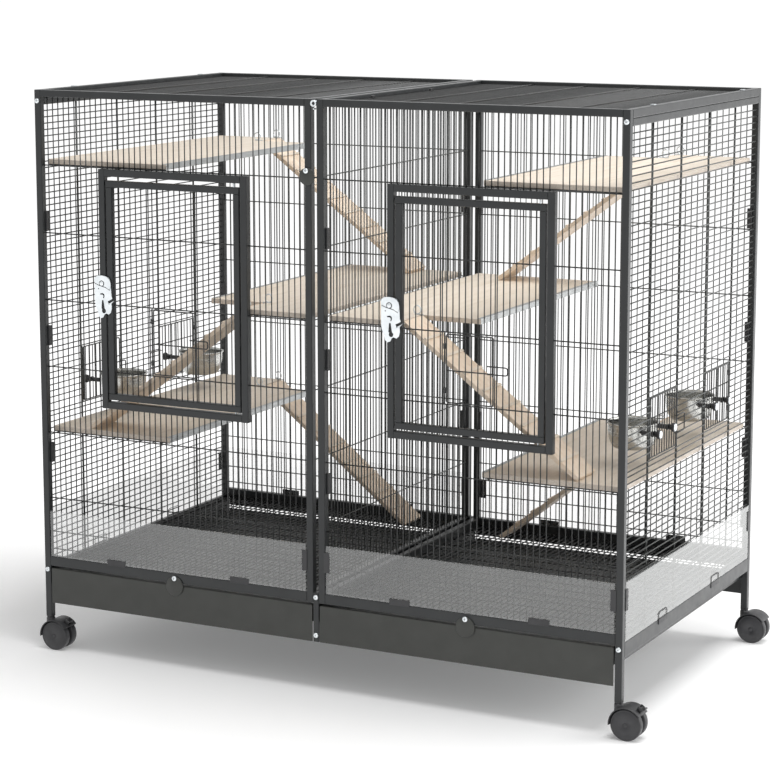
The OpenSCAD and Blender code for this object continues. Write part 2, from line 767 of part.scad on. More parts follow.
// Two hooks a ramp: a foot on the shelf, a standing wire loop and an eye round the hinge wire
module ramp_hooks() {
  foot_l = 12;
  foot_t = 1.5;
  loop_r = 8;
  loop_wire = 2.4;
  color(zinc) placed() both_sides() for (n = [1, 3, 5]) at_ramp(n)
    for (y = [-eye_l - 0.4, ramp_w + 0.4]) {
      translate([0, y, 0]) rotate([-90, 0, 0]) difference() {
        cylinder(d = ramp_wire + 2 * run_gap + 2 * eye_wall, h = eye_l);
        translate([0, 0, -1]) cylinder(d = ramp_wire + 2 * run_gap, h = eye_l + 2);
      }
      translate([-eye_wall / 2, y, ramp_wire / 2 + eye_wall / 2])
        cube([eye_wall, eye_l, shelf_t / 2 - ramp_wire / 2 - eye_wall / 2 + foot_t]);
      translate([-ramp_pin_gap - foot_l, y, shelf_t / 2])
        cube([foot_l + ramp_pin_gap, eye_l, foot_t]);
      translate([-ramp_pin_gap - foot_l / 2, y + eye_l / 2, shelf_t / 2 + foot_t + loop_r])
        rotate([90, 0, 0]) rotate_extrude() translate([loop_r, 0]) circle(d = loop_wire);
    }
}

// ---- floor and drawers ----

module floor_grids() {
  x0 = tube + seat_gap;
  x1 = module_w - tube - seat_gap;
  y0 = tube + seat_gap;
  y1 = cage_d - tube - seat_gap;
  nx = round((x1 - x0) / floor_pitch_x);
  ny = round((y1 - y0) / floor_pitch_y);
  us = [for (k = [0:nx]) x0 + wire / 2 + k * (x1 - x0 - wire) / nx];
  vs = [for (k = [0:ny]) y0 + wire / 2 + k * (y1 - y0 - wire) / ny];
  color(black_plastic) placed() each_module() translate([0, 0, side_beam_top])
    linear_extrude(wire) wire_grid([x0, y0], [x1, y1], us, vs);
}

// Angles that carry the drawers, each an upright strip over a foot
module drawer_runners() {
  foot = 15;
  z = tray_z - seat_gap - runner_t;
  strip_z = z + runner_t + weld_gap;
  side_top = side_beam_z + 15;
  mid_top = rail_z - 1;
  strip_l = inner_d - 2 * weld_gap;
  color(powder_coat) placed() {
    both_sides() {
      translate([tube, tube + weld_gap, strip_z]) cube([runner_t, strip_l, side_top - strip_z]);
      translate([tube, tube + weld_gap, z]) cube([foot, strip_l, runner_t]);
    }
    translate([cage_w / 2 - runner_t, tube + weld_gap, strip_z])
      cube([2 * runner_t, strip_l, mid_top - strip_z]);
    translate([module_w - foot, tube + weld_gap, z])
      cube([module_gap + 2 * foot, strip_l, runner_t]);
  }
}

drawer_x = tube + drawer_gap;
drawer_x1 = module_w - drawer_gap;

// Shallow tray of folded sheet behind a tall fascia
module drawer() {
  t = drawer_wall;
  tray_x = drawer_x + t;
  tray_w = drawer_x1 - drawer_x - 2 * t;
  translate([drawer_x, 0, drawer_z]) {
    cube([drawer_x1 - drawer_x, t, fascia_h]);
    translate([0, t, fascia_h - t]) cube([drawer_x1 - drawer_x, 8, t]);
  }
  translate([tray_x, t + weld_gap, tray_z]) cube([tray_w, tray_d - t - weld_gap, t]);
  for (x = [tray_x, tray_x + tray_w - t])
    translate([x, t + weld_gap, tray_z + t + weld_gap])
      cube([t, tray_d - 2 * t - 2 * weld_gap, tray_h - t - weld_gap]);
  translate([tray_x, tray_d - t, tray_z + t + weld_gap])
    cube([tray_w, t, tray_h - t - weld_gap]);
}

module drawer_left() { color(fascia_coat) placed() drawer(); }
module drawer_right() { color(fascia_coat) placed() mirrored_right() drawer(); }

// Disc hung off centre on a screw, which hangs down over what it locks
module turn_button(x, z, r, dx, drop) {
  translate([x, -seat_gap, z]) rotate([90, 0, 0]) {
    translate([dx, -drop, 0]) cylinder(r = r, h = button_t);
    cylinder(d = 8, h = button_t + 2);
    translate([0, 0, -seat_gap]) cylinder(d = 4, h = seat_gap);
  }
}

button_x = module_w / 2;

module drawer_button_left() {
  color(black_plastic) placed() turn_button(button_x, button_z, button_r, 0, button_drop);
}

module drawer_button_right() {
  color(black_plastic) placed()
    turn_button(module_pitch + button_x, button_z, button_r, 0, button_drop);
}

post_button_r = 16.5;
post_button_x = module_w - tube / 2 - 2.4;
post_button_z = level(5) + 15;

module post_button() {
  color(black_plastic) placed()
    turn_button(post_button_x, post_button_z, post_button_r, 2, 11);
}

// ---- guards, clips and fasteners ----

guard_gap = 2;

module splash_guards() {
  color([0.85, 0.9, 0.92, 0.4]) placed() {
    front_and_back() each_module()
      translate([tube + guard_gap, seat_gap, rail_top + seat_gap])
        cube([inner_w - 2 * guard_gap, guard_t, guard_h]);
    both_sides()
      translate([seat_gap, tube + guard_gap, side_beam_top + seat_gap])
        cube([guard_t, inner_d - 2 * guard_gap, guard_h + rail_top - side_beam_top]);
  }
}

clip_l = 44;
clip_t = 1.5;
clip_h = 13;
clip_x = [174, module_w - 164];
side_clip_h = 24;
upright_clip_w = 11;
upright_clip_l = 40;

// Clips along a front or back rail of one module, and upright ones beside its posts
module rail_clips() {
  for (x = clip_x)
    translate([x - clip_l / 2, -clip_t, rail_top - 3]) cube([clip_l, clip_t, clip_h]);
}

module post_clip(x) {
  translate([x, -clip_t, rail_top + 42]) cube([upright_clip_w, clip_t, upright_clip_l]);
}

module guard_clips() {
  inset = upright_clip_w - 1.5;
  color(black_plastic) placed() {
    front_and_back() each_module() {
      rail_clips();
      post_clip(module_w - tube - inset);
    }
    translate([module_pitch, 0, 0]) post_clip(tube - 1.5);
    both_sides() for (y = [0.287, 0.694])
      translate([-clip_t, y * cage_d - clip_l / 2, side_beam_top - 9])
        cube([clip_t, clip_l, side_clip_h]);
    both_sides() front_and_back()
      translate([-clip_t, tube - 1.5, rail_top + 42]) cube([clip_t, upright_clip_w, upright_clip_l]);
  }
}

// Corner block inside a post, where two panels meet
module connector() {
  t = 4;
  inner = mid_x + wire / 2 + weld_gap;
  translate([tube, inner, 0]) cube([t, tube - inner, 40]);
  translate([inner, tube, 0]) cube([tube + t - inner, t, 40]);
}

module panel_connectors() {
  heights = [level(0) + 73, level(2) + 42, level(4) + 3];
  color(black_plastic) placed() both_sides() front_and_back() for (z = heights) {
    translate([0, 0, z]) connector();
    translate([module_w, 0, z]) mirror([1, 0, 0]) connector();
  }
}

// Round bolt head on a front or back face
module bolt(x, z) {
  translate([x, 0, z]) rotate([90, 0, 0]) cylinder(d = 10, h = 3);
}

module frame_bolts() {
  color(zinc) placed() {
    front_and_back() {
      both_sides() {
        bolt(mid_x, post_h - 22);
        bolt(mid_x, rail_z - 8);
      }
      bolt(cage_w / 2, rail_top - 9);
      bolt(cage_w / 2, drawer_z + 13);
      for (z = [post_h - 6, post_h - 16])
        translate([module_w, mid_x, z]) rotate([0, 90, 0]) cylinder(d = 7, h = module_gap);
    }
    both_sides() for (share = [0.18, 0.865])
      translate([3, share * cage_d - 5, post_h]) cube([8, 10, 2]);
    for (share = [0.2, 0.57])
      translate([module_pitch + tube + 18, depth_wires[round(share * depth_count)],
                 post_h - tube / 2 + wire / 2])
        cylinder(d = 9, h = 4, $fn = 6);
  }
}

// ---- casters ----

// Once for each leg, from the floor under the leg's axis
module at_leg(right, back) {
  x = right ? cage_w - leg_c : leg_c;
  y = back ? cage_d - leg_c : leg_c;
  placed() translate([x, y, -caster_h]) children();
}

module leg_plug() {
  inner = tube - 2 * tube_wall - 0.1;
  translate([0, 0, caster_h]) difference() {
    union() {
      translate([-tube / 2, -tube / 2, -3]) cube([tube, tube, 3]);
      translate([-inner / 2, -inner / 2, 0]) cube([inner, inner, plug_l]);
    }
    translate([0, 0, -4]) cylinder(d = stem_d + 2 * run_gap, h = plug_l + 5);
  }
}

module leg_plugs() {
  color(black_plastic) for (right = [false, true], back = [false, true]) at_leg(right, back)
    leg_plug();
}

// Ring sector in the wheel's plane, as wide as the caster
module sector(r0, r1, w, from, sweep) {
  rotate([90, 0, 0]) rotate([0, 0, from]) rotate_extrude(angle = sweep)
    translate([r0, -w / 2]) square([r1 - r0, w]);
}

module caster_swivel(braked) {
  stem_base = caster_h - 3 - 2;
  hood_w = 2 * caster_half_w;
  difference() {
    union() {
      translate([caster_trail, 0, wheel_r]) {
        sector(hood_r0, hood_r, hood_w, 35, 150);
        rotate([90, 0, 0]) translate([0, 0, -web_w / 2]) cylinder(r = axle_r + 4, h = web_w);
        sector(axle_r + 3, hood_r0 + hood_t / 2, web_w - 1, 62, 116);
      }
      translate([0, 0, wheel_r + 6]) cylinder(d = stem_d + 8, h = stem_base - wheel_r - 6);
      if (braked) lever_ears();
    }
    translate([caster_trail, 0, wheel_r]) rotate([90, 0, 0])
      cylinder(r = axle_r + run_gap, h = 2 * web_w, center = true);
    if (braked) translate([lever_pivot[0], 0, lever_pivot[1]]) rotate([90, 0, 0])
      cylinder(d = lever_pin + 2 * run_gap, h = 2 * lever_w, center = true);
    for (s = [-1, 1]) translate([caster_trail, s * (web_w / 2 + hood_gap + wheel_w / 2), wheel_r])
      rotate([90, 0, 0]) cylinder(r = wheel_r + hood_gap, h = wheel_w + hood_gap, center = true);
  }
  translate([0, 0, stem_base]) cylinder(d = stem_d + 5, h = 2 - seat_gap);
  cylinder_from(stem_base - 1, caster_h + plug_l - 2, stem_d);
}

module cylinder_from(z0, z1, d) {
  translate([0, 0, z0]) cylinder(d = d, h = z1 - z0);
}

module caster_wheels() {
  offset_y = web_w / 2 + hood_gap;
  translate([caster_trail, 0, wheel_r]) rotate([90, 0, 0]) {
    translate([0, 0, -offset_y - 1]) cylinder(r = axle_r, h = 2 * offset_y + 2);
    for (z = [-offset_y - wheel_w, offset_y]) translate([0, 0, z]) cylinder(r = wheel_r, h = wheel_w);
  }
}

// Toe lever that turns on a pin between two ears on the hood
lever_w = 12;
lever_pin = 4;
ear_t = 2;
lever_pivot = [caster_trail + 23, wheel_r + 29.5];

module lever_ears() {
  away = [lever_pivot[0] - caster_trail, lever_pivot[1] - wheel_r];
  for (s = [-1, 1]) translate([caster_trail, s * (lever_w / 2 + seat_gap + ear_t / 2), wheel_r])
    sector(hood_r - 1, norm(away) + 4.5, ear_t, atan2(away[1], away[0]) - 8, 16);
}

module brake_lever() {
  translate([lever_pivot[0], 0, lever_pivot[1]]) {
    rotate([90, 0, 0]) cylinder(d = 6, h = lever_w, center = true);
    rotate([90, 0, 0]) cylinder(d = lever_pin, h = lever_w + 2 * ear_t + 1, center = true);
    translate([0, -lever_w / 2, -2]) cube([lever_reach - lever_pivot[0], lever_w, 4]);
  }
}

module caster_swivel_front_left() {
  color(black_plastic) at_leg(false, false) caster_swivel(true);
}
module caster_swivel_front_right() {
  color(black_plastic) at_leg(true, false) caster_swivel(true);
}
module caster_swivel_back_left() {
  color(black_plastic) at_leg(false, true) caster_swivel(false);
}
module caster_swivel_back_right() {
  color(black_plastic) at_leg(true, true) caster_swivel(false);
}
module caster_wheels_front_left() { color(black_plastic) at_leg(false, false) caster_wheels(); }
module caster_wheels_front_right() { color(black_plastic) at_leg(true, false) caster_wheels(); }
module caster_wheels_back_left() { color(black_plastic) at_leg(false, true) caster_wheels(); }
module caster_wheels_back_right() { color(black_plastic) at_leg(true, true) caster_wheels(); }
module brake_lever_left() { color(black_plastic) at_leg(false, false) brake_lever(); }
module brake_lever_right() { color(black_plastic) at_leg(true, false) brake_lever(); }

corner_posts();
centre_posts();
centre_legs();
base_rails();
roof_frames();
side_panels();
back_panels();
front_panels();
partition_panel();
door_left();
door_right();
door_hinge_pins();
door_latch_left();
door_latch_right();
door_hatch_left();
door_hatch_right();
side_hatch_left_front();
side_hatch_left_back();
side_hatch_right_front();
side_hatch_right_back();
bowl_left_front();
bowl_left_back();
bowl_right_front();
bowl_right_back();
bowl_clamps_left_front();
bowl_clamps_left_back();
bowl_clamps_right_front();
bowl_clamps_right_back();
shelves();
shelf_edge_strips();
shelf_supports();
ramp_hooks();
ramp_left_top();
ramp_left_middle();
ramp_left_lower();
ramp_right_top();
ramp_right_middle();
ramp_right_lower();
floor_grids();
drawer_runners();
drawer_left();
drawer_right();
drawer_button_left();
drawer_button_right();
post_button();
splash_guards();
guard_clips();
panel_connectors();
frame_bolts();
leg_plugs();
caster_swivel_front_left();
caster_swivel_front_right();
caster_swivel_back_left();
caster_swivel_back_right();
caster_wheels_front_left();
caster_wheels_front_right();
caster_wheels_back_left();
caster_wheels_back_right();
brake_lever_left();
brake_lever_right();
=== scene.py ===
import math
import bpy
import numpy as np
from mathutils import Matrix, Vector


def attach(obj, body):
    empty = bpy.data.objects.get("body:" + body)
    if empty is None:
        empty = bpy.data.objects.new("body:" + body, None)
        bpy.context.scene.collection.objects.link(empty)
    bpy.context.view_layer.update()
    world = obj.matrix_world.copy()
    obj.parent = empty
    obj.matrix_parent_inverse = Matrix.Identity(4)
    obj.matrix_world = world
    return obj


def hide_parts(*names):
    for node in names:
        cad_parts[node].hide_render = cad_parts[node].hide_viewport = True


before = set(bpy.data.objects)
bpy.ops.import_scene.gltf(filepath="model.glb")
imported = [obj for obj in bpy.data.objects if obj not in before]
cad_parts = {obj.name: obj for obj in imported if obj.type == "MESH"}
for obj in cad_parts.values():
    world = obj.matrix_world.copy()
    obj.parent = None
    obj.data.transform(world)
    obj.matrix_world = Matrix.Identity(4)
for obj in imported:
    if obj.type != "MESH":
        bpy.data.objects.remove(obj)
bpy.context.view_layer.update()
print("frame loaded:", len(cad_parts), "nodes")

# Lengths below are millimetres, measured like the steelwork: X from the outer left post,
# Y from the front of the posts, Z from the leg bottoms. place() turns them into the frame's metres.
origin = np.array([649.875, 354.0, -68.0])
cage = {"width": 1260.0, "depth": 708.0, "height": 1070.0, "tube": 14.0, "gap": 12.0, "weld": 0.2,
        "railZ": 105.0, "railTop": 125.0, "beamZ": 80.0, "beamTop": 108.0,
        "levels": [246.0 + 135.0 * k for k in range(6)], "uprights": 46, "depthWires": 53}
depth, height, tube = cage["depth"], cage["height"], cage["tube"]
moduleW = (cage["width"] - cage["gap"]) / 2
pitch = moduleW + cage["gap"]
roofZ = height - tube
innerW = moduleW - 2 * tube
innerD = depth - 2 * tube
near, farX, farY = tube + cage["weld"], moduleW - tube - cage["weld"], depth - tube - cage["weld"]
levels = cage["levels"]


def place(points):
    # millimetres less the origin, over a thousand
    return (np.asarray(points, float) - origin) / 1000.0


# the camera stands right of the middle, a little above the roof
camera = {"spot": (2.1569, -4.2829, 1.4273), "yaw": 27.173, "pitch": 9.167, "lens": 111.239, "sensor": 36.0,
          "far": 60.0, "pixelsUp": -60, "picture": 781}
camData = bpy.data.cameras.new("photoCamera")
camData.lens = camera["lens"]
camData.sensor_width = camera["sensor"]
camData.shift_y = camera["pixelsUp"] / camera["picture"]
camData.clip_end = camera["far"]
camObject = bpy.data.objects.new("photoCamera", camData)
camObject.location = camera["spot"]
camObject.rotation_euler = (math.radians(90 - camera["pitch"]), 0, math.radians(camera["yaw"]))
bpy.context.scene.collection.objects.link(camObject)
bpy.context.scene.camera = camObject
print("camera set")


# materials
def linear(hexColour):
    # sRGB hex to the linear values that Blender's sockets take
    part = [int(hexColour[i:i + 2], 16) / 255 for i in (1, 3, 5)]
    return tuple(c / 12.92 if c <= 0.04045 else ((c + 0.055) / 1.055) ** 2.4 for c in part) + (1.0,)


def addNode(tree, kind, settings=None, links=None):
    # one node; settings name a property or a socket, links give the socket that feeds an input
    made = tree.nodes.new("ShaderNode" + kind)
    for key, value in (settings or {}).items():
        if isinstance(key, str) and hasattr(made, key):
            setattr(made, key, value)
        else:
            made.inputs[key].default_value = value
    for key, source in (links or {}).items():
        tree.links.new(source, made.inputs[key])
    return made


def emptied(owner):
    # turns on the nodes of a material or the world and gives its tree with nothing in it
    owner.use_nodes = True
    owner.node_tree.nodes.clear()
    return owner.node_tree


def newMaterial(name):
    # a material with one shader on its output, and the object's own coordinates
    mat = bpy.data.materials.new(name)
    tree = emptied(mat)
    shader = addNode(tree, "BsdfPrincipled")
    addNode(tree, "OutputMaterial", links={"Surface": shader.outputs[0]})
    return mat, tree, shader, addNode(tree, "TexCoord").outputs["Object"]


def scaled(tree, coords, scale):
    # the coordinates times one factor for each axis
    return addNode(tree, "Mapping", {"Scale": scale}, {"Vector": coords}).outputs[0]


def ramp(tree, factor, stops):
    # a factor read off between stops of (position, hex colour or grey value)
    made = addNode(tree, "ValToRGB", links={"Fac": factor})
    line = made.color_ramp
    while len(line.elements) < len(stops):
        line.elements.new(0.5)
    for element, (spot, colour) in zip(line.elements, stops):
        element.position = spot
        element.color = linear(colour) if isinstance(colour, str) else (colour,) * 3 + (1.0,)
    return made.outputs[0]


def noise(tree, coords, scale, detail=3.0, rough=0.5):
    # clouds whose size is about one metre over the scale
    return addNode(tree, "TexNoise", {"Scale": scale, "Detail": detail, "Roughness": rough},
                   {"Vector": coords}).outputs["Fac"]


def dress(tree, shader, field, colours, sheen, rough):
    # one field's ramp gives the base colour, the other's, from 0.3 to 0.7, the roughness
    tree.links.new(ramp(tree, field, colours), shader.inputs["Base Color"])
    tree.links.new(ramp(tree, sheen, [(0.3, rough[0]), (0.7, rough[1])]), shader.inputs["Roughness"])


def bump(tree, shader, relief, strength, rise):
    # the normal leans with the slope of the relief, whose full rise is in metres
    made = addNode(tree, "Bump", {"Strength": strength, "Distance": rise}, {"Height": relief})
    tree.links.new(made.outputs[0], shader.inputs["Normal"])


def powderCoat(name, dark, mid, light, rough=(0.36, 0.5)):
    # baked polyester powder on steel: an even satin film with a faint orange peel about 1 mm across
    mat, tree, shader, coords = newMaterial(name)
    dress(tree, shader, noise(tree, coords, 30.0, 2.0), [(0.3, dark), (0.5, mid), (0.72, light)],
          noise(tree, coords, 60.0), rough)
    bump(tree, shader, noise(tree, coords, 850.0, 2.0), 0.12, 0.0003)
    shader.inputs["Specular IOR Level"].default_value = 0.35
    return mat


def wood(name, pale, mid, dark, along, ring):
    # birch and pine ply under clear lacquer: long grain with darker latewood lines and short pores
    mat, tree, shader, coords = newMaterial(name)
    stretch = [ring] * 3
    stretch[along] = ring / 14
    grain = noise(tree, scaled(tree, coords, stretch), 1.0, 5.0, 0.62)
    fine = noise(tree, scaled(tree, coords, [v * 7 for v in stretch]), 1.0, 3.0, 0.6)
    both = addNode(tree, "Mix", {"data_type": "FLOAT", 0: 0.3}, {2: grain, 3: fine}).outputs[0]
    dress(tree, shader, both, [(0.3, dark), (0.46, mid), (0.62, pale), (0.8, mid)], fine, (0.42, 0.6))
    bump(tree, shader, both, 0.15, 0.0004)
    return mat


def plainMetal(name, tone, rough, streak=None, scale=40.0):
    # bare zinc or stainless steel: full metal with soft clouding and fine drawn lines
    mat, tree, shader, coords = newMaterial(name)
    field = scaled(tree, coords, streak) if streak else coords
    cloud = noise(tree, field, scale, 4.0)
    dress(tree, shader, cloud, [(0.3, tone[0]), (0.7, tone[1])], cloud, rough)
    shader.inputs["Metallic"].default_value = 1.0
    bump(tree, shader, noise(tree, field, scale * 12, 2.0), 0.05, 0.0002)
    return mat


def moulded(name, dark, light, rough, grit=700.0):
    # injection moulded plastic with a spark-eroded grain about 1.5 mm across
    mat, tree, shader, coords = newMaterial(name)
    dress(tree, shader, noise(tree, coords, 25.0), [(0.3, dark), (0.7, light)],
          noise(tree, coords, 90.0), rough)
    bump(tree, shader, noise(tree, coords, grit, 2.0), 0.1, 0.0003)
    return mat


def acrylic(name):
    # clear cast sheet: its outer faces mirror by Fresnel and carry a thin film of dust that shows as haze
    mat = bpy.data.materials.new(name)
    tree = emptied(mat)
    coords = addNode(tree, "TexCoord").outputs["Object"]
    dustTone = ramp(tree, noise(tree, coords, 5.0), [(0.3, "#dfe2e1"), (0.7, "#eceeed")])
    dust = addNode(tree, "BsdfDiffuse", links={"Color": dustTone})
    gloss = addNode(tree, "BsdfGlossy", {"Color": (1, 1, 1, 1), "Roughness": 0.06})
    clear = addNode(tree, "BsdfTransparent", {"Color": (1, 1, 1, 1)})
    edge = addNode(tree, "LayerWeight", {"Blend": 0.5}).outputs["Facing"]
    haze = addNode(tree, "MapRange", {"To Min": 0.13, "To Max": 0.34}, {"Value": edge}).outputs[0]
    film = addNode(tree, "MixShader", links={0: haze, 1: clear.outputs[0], 2: dust.outputs[0]})
    mirror = addNode(tree, "Fresnel", {"IOR": 1.6}).outputs[0]
    both = addNode(tree, "MixShader", links={0: mirror, 1: film.outputs[0], 2: gloss.outputs[0]})
    inner = addNode(tree, "NewGeometry").outputs["Backfacing"]
    sides = addNode(tree, "MixShader", links={0: inner, 1: both.outputs[0], 2: clear.outputs[0]})
    addNode(tree, "OutputMaterial", links={"Surface": sides.outputs[0]})
    return mat


coatFrame = powderCoat("powderCoatAnthracite", "#282a2b", "#2b2d2e", "#2f3132", (0.3, 0.4))
coatWire = powderCoat("powderCoatWire", "#2b2c2c", "#303131", "#353636", (0.3, 0.4))
# wires of the sides, the back and the partition get paler copies of the wire powder coat than those of the
# front: painted light, standing for the light from the right that these wires catch
litSideWireCoat = powderCoat("powderCoatWireSidePaintedLight", "#3f4140", "#444645", "#4a4c4b", (0.3, 0.4))
litInnerWireCoat = powderCoat("powderCoatWireInnerPaintedLight", "#525453", "#575958", "#5d5f5e", (0.35, 0.45))
trayPaint = powderCoat("trayEnamel", "#5b5e5e", "#656868", "#707373", (0.4, 0.55))  # mid grey, duller
coatFascia = powderCoat("powderCoatOlive", "#3a3b38", "#3e3f3c", "#424340")
coatGrid = powderCoat("powderCoatBlack", "#1c1c1d", "#202021", "#252526")
zinc = plainMetal("zincPlatedSteel", ("#c4c9cc", "#dde1e3"), (0.28, 0.45), None, 55.0)
steel = plainMetal("stainlessSteel", ("#b4b4b0", "#c0c0bd"), (0.2, 0.3), (8, 8, 160), 1.0)
shelfWood = wood("birchPlywood", "#e8dccd", "#e1d4c3", "#d1c2ad", 1, 90.0)
rampWood = wood("pineLacquered", "#f0dfcd", "#e9d6c0", "#d8bfa3", 0, 90.0)
plyEdge = wood("plywoodEdge", "#e6dcd0", "#dacdbf", "#c1b19c", 1, 300.0)
stripSteel = plainMetal("galvanisedStrip", ("#9a9c9c", "#b2b4b4"), (0.32, 0.5), None, 30.0)
plasticBlack = moulded("nylonBlack", "#29292b", "#333335", (0.42, 0.58))
plasticWheel = moulded("polyamideCharcoal", "#2a2a2c", "#333336", (0.45, 0.6), 500.0)
clearSheet = acrylic("castAcrylic")
print("materials made")


# shapes: a part is (points, [(faces, smooth), ...], material number)
def turned(faceSets):
    # the same faces seen from their other side
    return [(faces[:, ::-1], smooth) for faces, smooth in faceSets]


def solid(points, faceSets, mat=0):
    # a closed form; its faces are turned round where its signed volume comes out negative
    points = np.asarray(points, float)
    mid = points.mean(0)
    volume = 0.0
    for faces, smooth in faceSets:
        for k in range(1, faces.shape[1] - 1):
            a, b, c = (points[faces[:, i]] - mid for i in (0, k, k + 1))
            volume += np.einsum("ij,ij->", a, np.cross(b, c))
    return points, turned(faceSets) if volume < 0 else faceSets, mat


def skin(m, rings, smooth, closed=False):
    # quads from point i and i + 1 of each ring of m points to the next ring, and the two end faces
    i = np.arange(m)
    j = (i + 1) % m
    row = np.arange(rings if closed else rings - 1)[:, None] * m
    nxt = (row + m) % (rings * m)
    sets = [(np.stack([row + i, row + j, nxt + j, nxt + i], 2).reshape(-1, 4), smooth)]
    return sets if closed else sets + [(i[::-1][None], False), (i[None] + (rings - 1) * m, False)]


def repeated(faceSets, count, size):
    # the same faces for each of several forms that have so many points apiece
    base = np.arange(count)[:, None, None] * size
    return [((base + faces[None]).reshape(-1, faces.shape[1]), smooth) for faces, smooth in faceSets]


def circles(u, v, radius, sides):
    # a circle for each pair of directions: radius times (u cos t + v sin t)
    t = (np.arange(sides) * 2 * np.pi / sides)[None, :, None]
    return radius * (u[:, None] * np.cos(t) + v[:, None] * np.sin(t))


def wires(starts, ends, radius, sides=8, mat=0):
    # straight round wires: a circle carried from each start to its end, with flat ends
    a = np.atleast_2d(np.asarray(starts, float))
    b = np.atleast_2d(np.asarray(ends, float))
    d = (b - a) / np.linalg.norm(b - a, axis=1)[:, None]
    u = np.cross(d, np.where(np.abs(d[:, 2:3]) < 0.9, [[0.0, 0.0, 1.0]], [[1.0, 0.0, 0.0]]))
    u /= np.linalg.norm(u, axis=1)[:, None]
    ring = circles(u, np.cross(d, u), radius, sides)
    points = np.concatenate([a[:, None] + ring, b[:, None] + ring], 1).reshape(-1, 3)
    return solid(points, repeated(skin(sides, 2, True), len(a), 2 * sides), mat)


def sweep(path, radius, normal, sides=10, closed=False):
    # a round wire along a flat path: the circle stands in the plane of the path's normal and side
    path = np.asarray(path, float)
    run = np.roll(path, -1, 0) - np.roll(path, 1, 0) if closed else np.gradient(path, axis=0)
    run /= np.linalg.norm(run, axis=1)[:, None]
    u = np.asarray(normal, float)[None]
    points = path[:, None] + circles(u, np.cross(run, u), radius, sides)
    return solid(points.reshape(-1, 3), skin(sides, len(path), True, closed))


def bendPath(corners, radius, steps=5):
    # a polyline whose corners are rounded off by quadratic arcs
    corners = [np.asarray(c, float) for c in corners]
    out = [corners[0]]
    for a, b, c in zip(corners, corners[1:], corners[2:]):
        inward, onward = a - b, c - b
        p = b + inward / np.linalg.norm(inward) * radius
        q = b + onward / np.linalg.norm(onward) * radius
        t = np.linspace(0, 1, steps)[:, None]
        out += list((1 - t) ** 2 * p + 2 * t * (1 - t) * b + t ** 2 * q)
    out.append(corners[-1])
    return np.array(out)


def bars(boxes, axis, radius=1.4, bevel=0.5, mat=0):
    # boxes [low, high] as rounded rectangles carried along one axis, bevelled at both ends
    box = np.asarray(boxes, float)
    mid, half = box.mean(1), (box[:, 1] - box[:, 0]) / 2
    p, q = [k for k in range(3) if k != axis]
    r = np.minimum(radius, np.minimum(half[:, p], half[:, q]) * 0.95)
    e = np.minimum(bevel, r * 0.6)
    t = (np.arange(3) / 2 * np.pi / 2)[None] + np.arange(4)[:, None] * np.pi / 2
    c, s = np.cos(t).ravel(), np.sin(t).ravel()
    signP = np.repeat([1, -1, -1, 1], 3)
    signQ = np.repeat([1, 1, -1, -1], 3)
    inset = np.array([1.0, 0.3, 0.0, 0.0, 0.3, 1.0])
    along = np.array([0.0, 0.3, 1.0, 1.0, 0.3, 0.0])
    side = np.array([-1, -1, -1, 1, 1, 1])
    m, n = len(c), len(box)
    points = np.zeros((n, 6, m, 3))
    rr = r[:, None, None] - e[:, None, None] * inset[None, :, None]
    points[..., p] = mid[:, None, None, p] + signP * (half[:, p] - r)[:, None, None] + rr * c
    points[..., q] = mid[:, None, None, q] + signQ * (half[:, q] - r)[:, None, None] + rr * s
    points[..., axis] = (mid[:, None, axis] + side * (half[:, None, axis] - e[:, None] * along))[..., None]
    return solid(points.reshape(-1, 3), repeated(skin(m, 6, False), n, 6 * m), mat)


def lathe(profile, centre, axis=2, sides=48, mat=0, smooth=True):
    # a profile of (radius, height) turned round an axis; a zero radius is a pole
    profile = np.asarray(profile, float)
    i = np.arange(sides)
    j = (i + 1) % sides
    t = i * 2 * np.pi / sides
    p, q = [(1, 2), (2, 0), (0, 1)][axis]
    points, index, tris, quads = [], [], [], []
    count = 0
    for r, h in profile:
        ring = np.zeros((1 if r == 0 else sides, 3))
        if r:
            ring[:, p], ring[:, q] = r * np.cos(t), r * np.sin(t)
        ring[:, axis] = h
        points.append(ring)
        index.append(np.arange(len(ring)) + count)
        count += len(ring)
    pairs = list(zip(index, index[1:]))
    if profile[0, 0] and profile[-1, 0]:
        pairs.append((index[-1], index[0]))
    for a, b in pairs:
        if len(a) == 1:
            tris.append(np.stack([np.full(sides, a[0]), b[j], b[i]], 1))
        elif len(b) == 1:
            tris.append(np.stack([a[i], a[j], np.full(sides, b[0])], 1))
        else:
            quads.append(np.stack([a[i], a[j], b[j], b[i]], 1))
    sets = [(np.concatenate(group), smooth) for group in (tris, quads) if group]
    return solid(np.concatenate(points) + np.asarray(centre, float), sets, mat)


def plate(outlines, thickness, bevel):
    # a flat curve of an outline and its holes, thickened and bevelled, as loose triangles
    curve = bpy.data.curves.new("plateCurve", "CURVE")
    curve.dimensions = "2D"
    curve.fill_mode = "BOTH"
    curve.extrude = thickness / 2 - bevel
    curve.bevel_depth = bevel
    curve.bevel_resolution = 1
    for outline in outlines:
        spline = curve.splines.new("POLY")
        spline.points.add(len(outline) - 1)
        flat = np.c_[np.array(outline, float), np.zeros(len(outline)), np.ones(len(outline))]
        spline.points.foreach_set("co", flat.ravel())
        spline.use_cyclic_u = True
    holder = bpy.data.objects.new("plateCurve", curve)
    bpy.context.scene.collection.objects.link(holder)
    mesh = holder.evaluated_get(bpy.context.evaluated_depsgraph_get()).to_mesh()
    mesh.calc_loop_triangles()
    points = np.array([v.co[:] for v in mesh.vertices])
    tris = np.array([t.vertices[:] for t in mesh.loop_triangles])
    bpy.data.objects.remove(holder)
    bpy.data.curves.remove(curve)
    return points, tris


